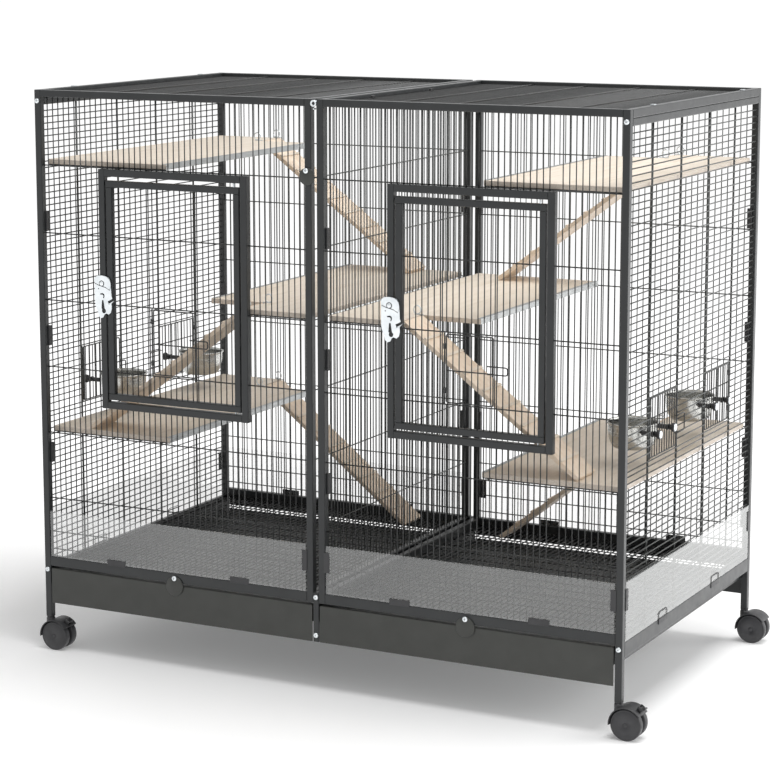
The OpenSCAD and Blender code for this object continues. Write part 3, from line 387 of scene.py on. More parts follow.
def addPiece(name, body, slot, parts, materials, *replaced):
    # joins the parts into one mesh object in the frame's metres and rides it; the finish's slot is not used
    base, points, groups = 0, [], []
    for pts, faceSets, mat in parts:
        points.append(place(pts))
        groups += [(faces + base, smooth, mat) for faces, smooth in faceSets]
        base += len(pts)
    points = np.concatenate(points)
    counts = [len(faces) for faces, smooth, mat in groups]
    sizes = np.repeat([faces.shape[1] for faces, smooth, mat in groups], counts)
    loops = np.concatenate([faces.ravel() for faces, smooth, mat in groups])
    mesh = bpy.data.meshes.new(name)
    mesh.vertices.add(len(points))
    mesh.vertices.foreach_set("co", points.ravel())
    mesh.loops.add(len(loops))
    mesh.loops.foreach_set("vertex_index", loops)
    mesh.polygons.add(len(sizes))
    mesh.polygons.foreach_set("loop_start", np.concatenate([[0], np.cumsum(sizes)[:-1]]))
    mesh.polygons.foreach_set("use_smooth", np.repeat([smooth for faces, smooth, mat in groups], counts))
    mesh.polygons.foreach_set("material_index", np.repeat([mat for faces, smooth, mat in groups], counts))
    for mat in materials:
        mesh.materials.append(mat)
    mesh.update(calc_edges=True)
    mesh.validate()
    made = bpy.data.objects.new(name, mesh)
    bpy.context.scene.collection.objects.link(made)
    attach(made, body)
    if replaced:
        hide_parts(*replaced)


def flip(parts, axis):
    # the same parts mirrored across the cage's middle, by X or by Y
    out = []
    for pts, faceSets, mat in parts:
        pts = np.array(pts)
        pts[:, axis] = (cage["width"], depth)[axis] - pts[:, axis]
        out.append((pts, turned(faceSets), mat))
    return out


def shift(parts, dx=0.0, dy=0.0, dz=0.0):
    # the same parts moved by a distance on each axis
    return [(np.asarray(pts) + (dx, dy, dz), faceSets, mat) for pts, faceSets, mat in parts]


def withRight(parts):
    # the parts and their mirror image in the other module
    return parts + flip(parts, 0)


def withBack(parts):
    # the parts and their mirror image at the back
    return parts + flip(parts, 1)


def withTwin(parts):
    # the parts and the same ones a module further on
    return parts + shift(parts, pitch)


# square tube frame
frameTubes = {"radius": 1.6, "end": 0.4, "legZ": 28.0, "ledgeW": 9.0, "ledgeZ": 106.0, "ledgeTop": 108.0,
              "sideRoof": 16.0}
apron = {"y": 706.5, "folds": [(28.0, 76.0), (84.0, 104.8)], "radius": 0.5, "end": 0.2}  # a slit between


def tubes(boxes, axis, mat=0):
    # square tubes with the frame's corner radius
    return [bars(boxes, axis, frameTubes["radius"], frameTubes["end"], mat)]


for name, node, x0, x1, z0 in (("cornerPosts", "corner_posts", 0, tube, 0),
                               ("centrePosts", "centre_posts", moduleW - tube, moduleW, cage["railZ"])):
    posts = tubes([[(x0, 0, z0), (x1, tube, height)]], 2)
    addPiece(name, "frame", "powder_coat", withBack(withRight(posts)), [coatFrame], node)
legs = tubes([[(moduleW, 0, frameTubes["legZ"]), (pitch, tube, cage["railTop"])]], 2)
addPiece("centreLegs", "frame", "powder_coat", withBack(legs), [coatFrame], "centre_legs")

rails = tubes([[(near, 0, cage["railZ"]), (farX, tube, cage["railTop"])]], 0)
ledgeW, ledgeZ, ledgeTop = (frameTubes[key] for key in ("ledgeW", "ledgeZ", "ledgeTop"))
sideRails = tubes([[(0, near, cage["beamZ"]), (tube, farY, cage["beamTop"])],
                   [(moduleW - tube, near, cage["railZ"]), (moduleW, farY, cage["railTop"])],
                   [(near, near, ledgeZ), (tube + ledgeW, farY, ledgeTop)],
                   [(moduleW - tube - ledgeW, near, ledgeZ), (farX, farY, ledgeTop)]], 1)
folds = [[(near, apron["y"], z0), (moduleW - cage["weld"], depth, z1)] for z0, z1 in apron["folds"]]
backApron = [bars(folds, 0, apron["radius"], apron["end"])]
addPiece("baseRails", "frame", "powder_coat", withBack(withTwin(rails)) + withRight(sideRails + backApron),
         [coatFrame], "base_rails")
print("frame tubes made")


# wire panels
def evenly(first, count, length):
    # so many places that share a length out evenly, none at its ends
    return first + np.arange(1, count + 1) * length / (count + 1)


grid = {"wire": 1.15, "cross": 1.25, "stack": 1.1, "lowWires": [140.0, 176.0], "roofCross": 4}
uprightX = evenly(tube, cage["uprights"], innerW)
depthY = evenly(tube, cage["depthWires"], innerD)
allLevels = grid["lowWires"] + levels
fixedDoor = {"x0": 147.0, "x1": 483.0, "z0": 443.0, "z1": 919.0}
doorSize = {"x0": 164.0, "x1": 466.0, "z0": 461.0, "z1": 897.0, "bar": 13.0, "pinX": 452.0,
            "pins": [(887.0, 905.0), (457.0, 471.0)], "stud": (167.0, 654.0), "studR": 2.5,
            "studY": (0.4, -6.0)}
doorHatch = {"x0": 260.0, "x1": 364.0, "z0": 517.25, "z1": 649.75, "hinge": 263.4, "hingeR": 1.5,
             "edge": 1.25, "width": 99.4, "cross": 0.47, "handle": 0.46, "handleH": 17.0, "reach": 30.0}


def spanWires(spots, low, high, radius, build, sides=8, mat=0):
    # one straight wire for each spot, from build(spot, low) to build(spot, high)
    return wires([build(s, low) for s in spots], [build(s, high) for s in spots], radius, sides, mat)


def uprightWires(xs, z0, z1, y):
    # wires on Z at each x
    return spanWires(xs, z0, z1, grid["wire"], lambda x, z: (x, y, z))


def levelWires(zs, x0, x1, y):
    # wires on X at each z
    return spanWires(zs, x0, x1, grid["cross"], lambda z, x: (x, y, z))


def within(values, low, high):
    # the values between two limits
    return [v for v in values if low < v < high]


frontY, backY, stack = tube / 2, depth - tube / 2, grid["stack"]
backGrid = [uprightWires(uprightX, cage["railTop"], roofZ, backY + stack),
            levelWires(allLevels, tube, moduleW - tube, backY - stack)]
# the back panels take the paler copy of the wire coat, painted light
addPiece("backPanels", "frame", "powder_coat", withTwin(backGrid), [litInnerWireCoat], "back_panels")

x0, x1, z0, z1 = (fixedDoor[key] for key in ("x0", "x1", "z0", "z1"))
beside = [x for x in uprightX if not x0 - 1 < x < x1 + 1]
across = within(uprightX, x0, x1)
freeLevels = [z for z in allLevels if z < z0 or z > z1]
cutLevels = within(allLevels, z0, z1)
front = [uprightWires(beside, cage["railTop"], roofZ, frontY - stack),
         uprightWires(across, cage["railTop"], z0, frontY - stack),
         uprightWires(across, z1, roofZ, frontY - stack),
         levelWires(freeLevels, tube, moduleW - tube, frontY + stack),
         levelWires(cutLevels, tube, x0, frontY + stack),
         levelWires(cutLevels, x1, moduleW - tube, frontY + stack)]
front += tubes([[(x0, 0, z0), (x0 + tube, tube, z1)], [(x1 - tube, 0, z0), (x1, tube, z1)]], 2, 1)
x0, x1 = x0 + tube + cage["weld"], x1 - tube - cage["weld"]
front += tubes([[(x0, 0, z0), (x1, tube, z0 + tube)], [(x0, 0, z1 - tube), (x1, tube, z1)]], 0, 1)
addPiece("frontPanels", "frame", "powder_coat", withTwin(front), [coatWire, coatFrame], "front_panels")

midX = moduleW - tube / 2
partition = [spanWires(depthY, cage["railTop"], roofZ, grid["wire"], lambda y, z: (midX - stack, y, z)),
             spanWires(levels, tube, depth - tube, grid["cross"], lambda z, y: (midX + stack, y, z))]
# the partition takes the paler copy of the wire coat, painted light
addPiece("partitionPanel", "frame", "powder_coat", partition, [litInnerWireCoat], "partition_panel")

# roof: close wires run across, with a few cross wires from front to back on top of them
roofMid = height - tube / 2
crossX = evenly(tube, grid["roofCross"], innerW)
roof = [spanWires(depthY, tube, moduleW - tube, grid["wire"], lambda y, x: (x, y, roofMid - stack), mat=1),
        spanWires(crossX, tube, depth - tube, grid["cross"], lambda x, y: (x, y, roofMid + stack), mat=1)]
roof += withBack(tubes([[(near, 0, roofZ), (farX, tube, height)]], 0))
roofSides = tubes([[(0, near, height - frameTubes["sideRoof"]), (tube, farY, height)],
                   [(moduleW - tube, near, roofZ), (moduleW, farY, height)]], 1)
addPiece("roofFrames", "frame", "powder_coat", withTwin(roof) + withRight(roofSides), [coatFrame, coatWire],
         "roof_frames")
print("front, back, roof and partition made")

# side panels: close level wires on four heavy uprights
side = {"bay": [132.0, 280.0, 428.0, 576.0], "rows": 73, "wire": 1.2, "rowX": 4.75, "heavyX": 8.2,
        "heavy": 2.0, "hatchZ": 421.0, "hatchTop": 537.0, "x": 7.0, "low": 108.2, "high": 1039.8,
        "gateInset": 5.4, "overlap": 1.8, "rim": 1.25, "hinge": 1.5, "clear": 5.0, "topZ": (1040.0, 1053.8)}


def sidePanel():
    # level wires from post to post, cut short at the two hatch openings, which have a wire over and under
    bay, low, high, over = side["bay"], side["low"], side["high"], side["overlap"]
    hatchZ, hatchTop = side["hatchZ"], side["hatchTop"]
    first, last = tube, depth - tube
    zs = evenly(low, side["rows"], high - low)
    edges = np.array([hatchZ - side["rim"], hatchTop + side["rim"]])
    zs = zs[np.abs(zs[:, None] - edges).min(1) > side["clear"]]
    cut = (zs > hatchZ) & (zs < hatchTop)
    runs = [(np.concatenate([zs[~cut], edges]), first, last), (zs[cut], first, bay[0] + over),
            (zs[cut], bay[1] - over, bay[2] + over), (zs[cut], bay[3] - over, last)]
    parts = [spanWires(rows, y0, y1, side["wire"], lambda z, y: (side["rowX"], y, z))
             for rows, y0, y1 in runs]
    parts.append(spanWires(bay, low, high, side["heavy"], lambda y, z: (side["heavyX"], y, z), 12))
    hinges = [bay[0] + side["gateInset"], bay[3] - side["gateInset"]]
    parts.append(spanWires(hinges, hatchZ + cage["weld"], hatchTop - cage["weld"], side["hinge"],
                           lambda y, z: (side["x"], y, z), 10))
    top, topEnd = side["topZ"]
    return parts + tubes([[(0, near, top), (tube, farY, topEnd)]], 1, 1)


# the side panels take the paler copy of the wire coat, painted light
addPiece("sidePanels", "frame", "powder_coat", withRight(sidePanel()), [litSideWireCoat, coatFrame], "side_panels")
print("side panels made")


# front doors with their hatches
def door():
    # a tube frame, wires that leave the hatch open, the hatch's hinge wire and the latch's stud
    x0, x1, z0, z1, bar = (doorSize[key] for key in ("x0", "x1", "z0", "z1", "bar"))
    h = doorHatch
    y0, y1 = (tube - bar) / 2, (tube + bar) / 2
    parts = tubes([[(x0, y0, z0), (x1, y1, z0 + bar)], [(x0, y0, z1 - bar), (x1, y1, z1)]], 0, 1)
    low, high = z0 + bar + cage["weld"], z1 - bar - cage["weld"]
    parts += tubes([[(x0, y0, low), (x0 + bar, y1, high)], [(x1 - bar, y0, low), (x1, y1, high)]], 2, 1)
    inner = within(uprightX, x0 + bar, x1 - bar)
    clear = [x for x in inner if not h["x0"] - 2 < x < h["x1"] + 2]
    over = within(inner, h["x0"] + 2, h["x1"] - 2)
    y = frontY - stack
    parts.append(uprightWires(clear + [h["x0"] - h["edge"], h["x1"] + h["edge"]], z0 + bar, z1 - bar, y))
    parts.append(uprightWires(over, z0 + bar, h["z0"] - 1, y))
    parts.append(uprightWires(over, h["z1"] + 1, z1 - bar, y))
    parts.append(levelWires(within(levels, z0 + bar, z1 - bar), x0 + bar, x1 - bar, frontY + stack))
    parts.append(spanWires([h["hinge"]], h["z0"] + cage["weld"], h["z1"] - cage["weld"], h["hingeR"],
                           lambda x, z: (x, frontY, z), 10))
    (x, z), (back, tip) = doorSize["stud"], doorSize["studY"]
    parts.append(wires([(x, back, z)], [(x, tip, z)], doorSize["studR"], 16, mat=2))
    return parts


gateWire = {"clear": 2.3, "half": 1.25, "end": 2.4, "corner": 4.0, "rim": 1.3, "bar": 1.05, "cross": 1.2,
            "eyeR": (1.6, 2.9), "eye": 10, "handleIn": 12, "legIn": 10.7, "legR": 1.0, "legY": -0.9,
            "bend": 5.0, "barY": -0.2, "crossY": 0.9, "eyeAt": (0.15, 0.85), "handleOff": 0.3}


def gate(wide, tall, barX, crossZ, handleZ, handleH, reach, standOff):
    # a hatch in its own plane, hinge wire on Z at x = 0, outside towards -Y: a bent rim with bars and a
    # cross wire welded in, two eyes round the hinge wire and a bent handle on two short legs
    g = gateWire
    half, low, high = g["half"], g["end"], tall - g["end"]
    edge, far = g["clear"] + half, wide - half
    rim = bendPath([(edge, 0, tall / 2), (edge, 0, high), (far, 0, high), (far, 0, low), (edge, 0, low),
                    (edge, 0, tall / 2)], g["corner"])[:-1]
    parts = [sweep(rim, g["rim"], (0, 1, 0), 8, closed=True),
             spanWires(barX, low, high, g["bar"], lambda x, z: (x, g["barY"], z)),
             spanWires([crossZ], edge, far, g["cross"], lambda z, x: (x, g["crossY"], z))]
    (r0, r1), (lowEye, highEye) = g["eyeR"], g["eyeAt"]
    for z in (lowEye * tall, highEye * tall - g["eye"]):
        top = z + g["eye"]
        parts.append(lathe([(r0, z), (r1, z), (r1, top), (r0, top)], (0, 0, 0), 2, 20))
    y = -standOff - g["handleOff"] - half
    z0, z1 = handleZ + half, handleZ + handleH - half
    start, tip, leg = wide - g["handleIn"], wide + reach - half, wide - g["legIn"]
    handle = bendPath([(start, y, z0), (tip, y, z0), (tip, y, z1), (start, y, z1)], g["bend"])
    parts.append(sweep(handle, half, (0, 1, 0), 8))
    parts.append(spanWires((z0, z1), g["legY"], y, g["legR"], lambda z, y: (leg, y, z), 6))
    return parts


h = doorHatch
hatchH = h["z1"] - h["z0"]
hatchBars = [x - h["hinge"] for x in within(uprightX, h["hinge"] + 6, h["hinge"] + h["width"] - 4)]
hatchParts = shift(gate(h["width"], hatchH, hatchBars, hatchH * h["cross"], hatchH * h["handle"],
                        h["handleH"], h["reach"], h["edge"]), h["hinge"], frontY, h["z0"])
doorParts = door()
modules = (("left", 0.0), ("right", pitch))
for name, dx in modules:
    addPiece("door_" + name + "_panel", "door_" + name, "powder_coat", shift(doorParts, dx),
             [coatWire, coatFrame, zinc], "door_" + name)
    addPiece("door_hatch_" + name + "_gate", "door_hatch_" + name, "powder_coat", shift(hatchParts, dx),
             [coatWire], "door_hatch_" + name)

pins = [lathe([(0, z0), (1.9, z0), (2.0, z0 + 0.4), (2.0, z1 - 0.3), (1.9, z1), (0, z1)],
              (doorSize["pinX"], frontY, 0), 2, 20) for z0, z1 in doorSize["pins"]]
addPiece("doorHingePins", "frame", "zinc_steel", withTwin(pins), [zinc], "door_hinge_pins")
print("doors made")

# latches
# under and underBack place the thin dark plate that is painted in as the cam's shadow line
latch = {"pivot": (154.0, 694.0), "plate": 1.6, "plateBack": 0.5, "cam": 1.4, "camBack": 2.6, "under": 0.5,
         "underBack": 2.1, "lift": 3.0, "slot": 2.8}


def raised(outlines, thickness, back, mat=0, bevel=0.3):
    # a plate hung on the latch's pivot, its own X, Y on the cage's X, Z, its back so far before the posts
    points, tris = plate(outlines, thickness, bevel)
    px, pz = latch["pivot"]
    x, y, z = points.T
    stood = np.c_[x + px, -back - thickness / 2 - z, y + (pz + latch["lift"])]
    return solid(stood, [(tris, False)], mat)


def roundHole(x, z, r, count=14):
    # a circle run backwards, so that the curve's fill leaves it open
    t = -np.arange(count) * 2 * np.pi / count
    return np.c_[x + r * np.cos(t), z + r * np.sin(t)]


def latchParts():
    # pressed plate with a keyhole, a hooked slot and an arc slot for the stud; a cam lies over its top, with
    # a thin dark plate under its lower edge as a painted shadow
    px, pz = latch["pivot"]
    dx, dz = doorSize["stud"][0] - px, doorSize["stud"][1] - pz
    r, start, slot = math.hypot(dx, dz), math.atan2(dz, dx), latch["slot"]
    t = np.linspace(start + 0.3, start, 6)
    arc = [((r + k) * math.cos(v), (r + k) * math.sin(v)) for k, turn in ((-slot, t), (slot, t[::-1]))
           for v in turn]
    outline = [(-14, 10), (-4, 12), (6, 12), (15, 9), (18.8, 3), (19.6, -6), (20.2, -14), (20.6, -22),
               (20.8, -27)] + arc + [(20.5, -42), (21, -52), (19, -60), (14, -64), (8.5, -62), (4.5, -64),
                                     (1, -70.5), (-5, -72.5), (-9.5, -68), (-11, -60), (-15.5, -50),
                                     (-17.2, -42), (-17.4, -30), (-17.4, 0), (-16.4, 6)]
    t = 2.5 + np.linspace(0, 1.55 * np.pi, 12)
    keyhole = [(-1.2, -36), (-2.9, -52.5), *zip(3 + 5 * np.cos(t), -57.5 + 5 * np.sin(t)), (2.4, -36)]
    hook = [(-5.5, -23.2), (0.5, -21.8), (4.6, -24), (5.4, -28), (3.4, -33), (1.2, -32), (2.4, -28),
            (0.6, -25.6), (-5.2, -25.8)]
    lower = [(-16.4, -2), (-7.3, -5.6), (0.8, -7.4), (8.9, -9.4), (17, -14)]
    upper = [(20.4, -9), (20.4, -1), (17.4, 6), (11, 11), (1, 12.8), (-10, 12), (-15.6, 8), (-17.4, 3)]
    # a thin dark plate just below the cam's lower edge: a painted shadow line where the cam meets the plate
    paintedShadow = [(x, z - 2.2) for x, z in lower] + [(x, z + 4) for x, z in lower[::-1]]
    return [raised([outline, roundHole(-8.9, -14, 1.5), keyhole, hook], latch["plate"], latch["plateBack"]),
            raised([lower + upper], latch["cam"], latch["camBack"]),
            raised([paintedShadow], latch["under"], latch["underBack"], 2, 0.1),
            lathe([(0, 0), (3.4, 0), (3.4, -3.7), (4.6, -4.3), (4.6, -4.8), (3.8, -5.5), (0, -5.6)],
                  (px, 0, pz), 1, 32),
            lathe([(3.2, -3.9), (6.0, -3.9), (6.0, -4.25), (3.2, -4.25)], (px, 0, pz), 1, 32, 1),
            bars([[(px + 7.2, -3.9, pz - 4), (px + 8.6, -3.6, pz + 4.5)]], 2, 0.6, 0.2, 1)]


for name, dx in modules:
    addPiece("latch_" + name + "_plate", "latch_" + name, "zinc_steel", shift(latchParts(), dx),
             [zinc, plasticBlack], "door_latch_" + name)
print("latches made")

# side hatches, bowls and clamps
sideHatch = {"width": 139.4, "height": 116.0, "bays": 11, "cross": 0.65, "handleZ": 26.0, "handleH": 36.0,
             "reach": 30.0, "standOff": 3.5, "front": 137.4, "back": 570.6}
bowl = {"x": 64.7, "y": 58.25, "z": 6.0, "radius": 50.0, "height": 50.0, "wall": 0.8}
clamp = {"apart": 38, "below": 13, "body": 3, "gap": 0.3, "pad": (9, 5), "jaw": 4}


def sideGate():
    # the gate with bars at even bays, none near its hinge or its far edge
    s = sideHatch
    barX = within([k * s["width"] / s["bays"] for k in range(1, s["bays"])], 6, s["width"] - 4)
    return gate(s["width"], s["height"], barX, s["height"] * s["cross"], s["handleZ"], s["handleH"],
                s["reach"], s["standOff"])


def bowlParts():
    # pressed bowl: foot, bellied wall and a rolled rim, inside and outside in one profile
    r, h, t = bowl["radius"], bowl["height"], bowl["wall"]
    outer = [(0, 0.0), (r * 0.6, 0.0), (r * 0.7, 1.2), (r * 0.76, 4), (r * 0.84, 10), (r * 0.9, 20),
             (r - 3.2, 32), (r - 3, h - 5)]
    rim = [(r - 2.6, h - 3.2), (r - 1.0, h - 3.0), (r, h - 1.8), (r - 0.2, h - 0.6), (r - 1.2, h),
           (r - 2.6, h - 0.2), (r - 3.6, h - 1.2)]
    inner = [(r - 3.8, h - 5), (r - 4.0, 32), (r * 0.9 - t, 20), (r * 0.84 - t, 10), (r * 0.76 - t, 4.4),
             (r * 0.66, 1.6), (0, t)]
    return [lathe(outer + rim + inner, (bowl["x"], bowl["y"], bowl["z"]), 2, 64)]


def clampParts():
    # two jaws grip the rim from inside the bars; each is drawn up by a round knob with a bright face
    parts = []
    jaw, (padX, padZ) = clamp["jaw"], clamp["pad"]
    z = bowl["z"] + bowl["height"] - clamp["below"]
    for dx in (-clamp["apart"], clamp["apart"]):
        x = bowl["x"] + dx
        grip = math.sqrt((bowl["radius"] - clamp["body"]) ** 2 - (abs(dx) - jaw) ** 2)
        reach = bowl["y"] - grip - clamp["gap"]
        parts += [bars([[(x - padX, 1.3, z - padZ), (x + padX, 4.2, z + padZ)]], 1, 2.0, 0.8),
                  bars([[(x - jaw, 1.3, z - jaw), (x + jaw, reach, z + jaw)]], 1, 1.5, 0.8),
                  lathe([(0, -11.7), (7.8, -11.6), (8.4, -10.8), (8.4, -6.6), (7.6, -5.6), (5.2, -4.6),
                         (5.4, -2.2), (5.0, -1.3), (2.2, -1.3), (2.2, 1.2), (0, 1.2)], (x, 0, z), 1, 32),
                  lathe([(0, -13.1), (3, -13.1), (6.6, -12.9), (7.4, -12.2), (7.2, -11.5), (0, -11.5)],
                        (x, 0, z), 1, 32, 1)]
    return parts


def atHatch(parts, right, back):
    # from the gate's own plane to its place in a side panel
    out = []
    for pts, faceSets, mat in parts:
        x = cage["width"] - side["x"] - pts[:, 1] if right else side["x"] + pts[:, 1]
        y = sideHatch["back"] - pts[:, 0] if back else sideHatch["front"] + pts[:, 0]
        out.append((np.c_[x, y, side["hatchZ"] + pts[:, 2]], turned(faceSets) if right == back else faceSets,
                    mat))
    return out


for right in (False, True):
    for back in (False, True):
        end = ("right" if right else "left") + "_" + ("back" if back else "front")
        rider = "side_hatch_" + end
        addPiece(rider + "_gate", rider, "powder_coat", atHatch(sideGate(), right, back), [coatWire], rider)
        addPiece("bowl_" + end + "_dish", rider, "zinc_steel", atHatch(bowlParts(), right, back), [steel],
                 "bowl_" + end)
        addPiece("clamps_" + end, rider, "black_plastic", atHatch(clampParts(), right, back),
                 [plasticBlack, zinc], "bowl_clamps_" + end)
print("side hatches and bowls made")

# shelves
shelf = {"x0": 14.5, "x1": 290.0, "y0": 23.235, "y1": 684.765, "thick": 9.5, "ease": 0.8, "lift": 1.25,
         "midX0": 337.0, "midX1": 609.5, "outerNotchX": 165.0, "midNotchX": 462.0, "notchY": 97.235}
strip = {"sheet": 1.0, "lip": 7.0, "over": 0.6, "fold": 0.8}
bearerWire = {"radius": 1.25, "outerFoot": 29.5, "farFoot": 275.0, "notchIn": 12, "panelGap": 1.2,
              "midFeet": (352.0, 495.0, 594.5)}


def board(corners, z):
    # a plywood board from its outline, edges eased; faces wood, rim the plies
    pts, tris = plate([corners], shelf["thick"], shelf["ease"])
    pts = pts + (0, 0, z + shelf["thick"] / 2)
    normal = np.cross(pts[tris[:, 1]] - pts[tris[:, 0]], pts[tris[:, 2]] - pts[tris[:, 0]])
    flat = np.abs(normal[:, 2]) > 0.8 * np.linalg.norm(normal, axis=1)
    faces = solid(pts, [(tris, False)])[1][0][0]
    return [(pts, [(faces[flat], False)], 0), (pts, [(faces[~flat], False)], 1)]


sx0, sx1, sy0, sy1, mx0, mx1 = (shelf[key] for key in ("x0", "x1", "y0", "y1", "midX0", "midX1"))
n0, n1 = shelf["outerNotchX"], depth - tube - shelf["notchY"]
m0, m1 = shelf["midNotchX"], tube + shelf["notchY"]
outerBoard = [(sx0, sy0), (sx1, sy0), (sx1, n1), (n0, n1), (n0, sy1), (sx0, sy1)]
middleBoard = [(m0, sy0), (mx1, sy0), (mx1, sy1), (mx0, sy1), (mx0, m1), (m0, m1)]
for label, outline, k in (("low", outerBoard, 1), ("top", outerBoard, 5), ("middle", middleBoard, 3)):
    boardParts = board(outline, levels[k] + shelf["lift"])
    for sideName, made in (("left", boardParts), ("right", flip(boardParts, 0))):
        addPiece("shelf_" + sideName + "_" + label, "frame", "pine_board", made, [shelfWood, plyEdge],
                 "shelves")


def edgeStrip(x, y0, y1, z, outward):
    # folded zinc channel over the board's long edge: web and two short lips, one box each
    t, over, fold = shelf["thick"], strip["over"], strip["fold"]
    out = x + outward * strip["sheet"]
    boxes = [[(x, y0, z - over), (out, y1, z + t + over)]]
    boxes += [[(x - outward * strip["lip"], y0, z0), (out, y1, z0 + fold)] for z0 in (z - fold, z + t)]
    return bars([[np.minimum(p, q), np.maximum(p, q)] for p, q in boxes], 1, 0.35, 0.2)


strips = [edgeStrip(sx1, sy0, n1, levels[k] + shelf["lift"], 1.0) for k in (1, 5)]
strips.append(edgeStrip(mx0, m1, sy1, levels[3] + shelf["lift"], -1.0))
addPiece("shelfStrips", "frame", "zinc_steel", withRight(strips), [stripSteel], "shelf_edge_strips")


def bearer(x0, x1, feet, z):
    # a wire under the board's front edge, and feet from it to the panel's wires
    r = bearerWire["radius"]
    y = sy0 + r
    return [wires([(x0, y, z)], [(x1, y, z)], r),
            spanWires(feet, frontY + bearerWire["panelGap"], y, r, lambda x, y: (x, y, z))]


foot, farFoot, (mid0, mid1, mid2) = (bearerWire[key] for key in ("outerFoot", "farFoot", "midFeet"))
bearers = []
for k in (1, 5):
    bearers += bearer(sx0, sx1, [foot, farFoot], levels[k])
    bearers += flip(bearer(sx0, n0, [foot, n0 - bearerWire["notchIn"]], levels[k]), 1)
bearers += bearer(m0, mx1, [mid1, mid2], levels[3]) + flip(bearer(mx0, mx1, [mid0, mid2], levels[3]), 1)
addPiece("shelfBearers", "frame", "powder_coat", withRight(bearers), [coatWire], "shelf_supports")
print("shelves made")

# ramps
ramps = {"length": 440.0, "width": 80.0, "thick": 8.5, "wire": 1.3, "wireOver": 4, "cleats": 8,
         "cleatH": 3.0, "cleatW": 6, "cleatIn": 0.5, "endGap": 2.0, "gap": 13.235, "outerX": 171.25,
         "midX": 455.75, "rise": 6.0, "shelfDrop": 270.0, "floorZ": 110.5}


def rampSlope(drop):
    # the angle at which the far end's lower edge lies a drop below the hinge, 0.3 mm clear
    l, t = ramps["length"], ramps["thick"]
    return math.asin((drop - 0.3) / math.hypot(l, t / 2)) - math.atan2(t / 2, l)


def rampParts(drop):
    # plank with eased edges, low cleats across it and the hinge wire; hinge on Y at the origin
    l, wide, t, inset = ramps["length"], ramps["width"], ramps["thick"], ramps["cleatIn"]
    starts = [k * l / (ramps["cleats"] + 1) for k in range(1, ramps["cleats"] + 1)]
    cleats = [[(x, inset, t / 2 - 0.2), (x + ramps["cleatW"], wide - inset, t / 2 + ramps["cleatH"])]
              for x in starts]
    level = [bars([[(-ramps["endGap"], 0, -t / 2), (l, wide, t / 2)]], 0, 1.0, 0.6),
             bars(cleats, 1, 1.2, 0.5, 1)]
    c, s = math.cos(rampSlope(drop)), math.sin(rampSlope(drop))
    sloped = [(np.c_[pts[:, 0] * c + pts[:, 2] * s, pts[:, 1], pts[:, 2] * c - pts[:, 0] * s], faceSets, mat)
              for pts, faceSets, mat in level]
    over = ramps["wireOver"]
    return sloped + [wires([(0, -over, 0)], [(0, wide + over, 0)], ramps["wire"], 12, 2)]


def atRamp(parts, n):
    # to the ramp's hinge at level n; the middle one runs the other way and stands at the front
    z = levels[n] + ramps["rise"]
    if n == 3:
        out = [(pts * np.array([-1, 1, 1]), turned(faceSets), mat) for pts, faceSets, mat in parts]
        return shift(out, ramps["midX"], tube + ramps["gap"], z)
    return shift(parts, ramps["outerX"], depth - tube - ramps["gap"] - ramps["width"], z)


shelfDrop = ramps["shelfDrop"] - shelf["thick"] / 2
floorDrop = levels[1] + ramps["rise"] - ramps["floorZ"]
for label, n, drop in (("top", 5, shelfDrop), ("middle", 3, shelfDrop), ("lower", 1, floorDrop)):
    made = atRamp(rampParts(drop), n)
    for sideName, parts in (("left", made), ("right", flip(made, 0))):
        node = "ramp_" + sideName + "_" + label
        addPiece(node + "_plank", node, "ramp_wood", parts, [rampWood, shelfWood, zinc], node)


def hookParts():
    # wire hook of a ramp: eye round the hinge wire, a post, a foot on the shelf and a standing loop over it
    parts = []
    t = np.linspace(0, 2 * np.pi, 25)[:-1]
    for y in (-3.4, ramps["width"] + 0.4):
        loop = np.c_[-12.25 + 7.6 * np.cos(t), np.full(24, y + 1.5), 14.0 + 8.0 * np.sin(t)]
        parts += [lathe([(1.4, y), (2.8, y), (2.8, y + 3), (1.4, y + 3)], (0, 0, 0), 1, 20),
                  bars([[(-0.75, y, 2.2), (0.75, y + 3, 6.2)]], 2, 0.5, 0.2),
                  bars([[(-18.2, y, 4.75), (0.8, y + 3, 6.25)]], 0, 0.5, 0.3),
                  sweep(loop, 1.2, (0, 1, 0), 8, closed=True)]
    return parts


hooks = sum((atRamp(hookParts(), n) for n in (1, 3, 5)), [])
addPiece("rampHooks", "frame", "zinc_steel", withRight(hooks), [zinc], "ramp_hooks")
print("ramps made")

# floor grids and drawers
floorGrid = {"z": 109.25, "pitchX": 12.4, "pitchY": 46.0, "wire": 1.2, "edge": 15.6, "end": 14.6,
             "stack": 0.3}
edge, end, floorZ, lift, thin = (floorGrid[key] for key in ("edge", "end", "z", "stack", "wire"))
fx = np.linspace(edge, moduleW - edge, int(round(innerW / floorGrid["pitchX"])) + 1)
fy = np.linspace(edge, depth - edge, int(round(innerD / floorGrid["pitchY"])) + 1)
floor = [spanWires(fx, end, depth - end, thin, lambda x, y: (x, y, floorZ + lift), 6),
         spanWires(fy, end, moduleW - end, thin, lambda y, x: (x, y, floorZ - lift), 6)]
addPiece("floorGrids", "frame", "grid_coat", withTwin(floor), [coatGrid], "floor_grids")

# the fascia stands a little low, so that the dark joint over it shows; the tray's back is a low one
drawer = {"x0": 16.5, "x1": 621.5, "z": 28.0, "fascia": 75.0, "lowered": 2.5, "bend": 2.5, "lip": 9.5,
          "trayZ": 66.0, "trayTop": 100.0, "backTop": 76.0, "sheet": 1.5, "depth": 690.0}


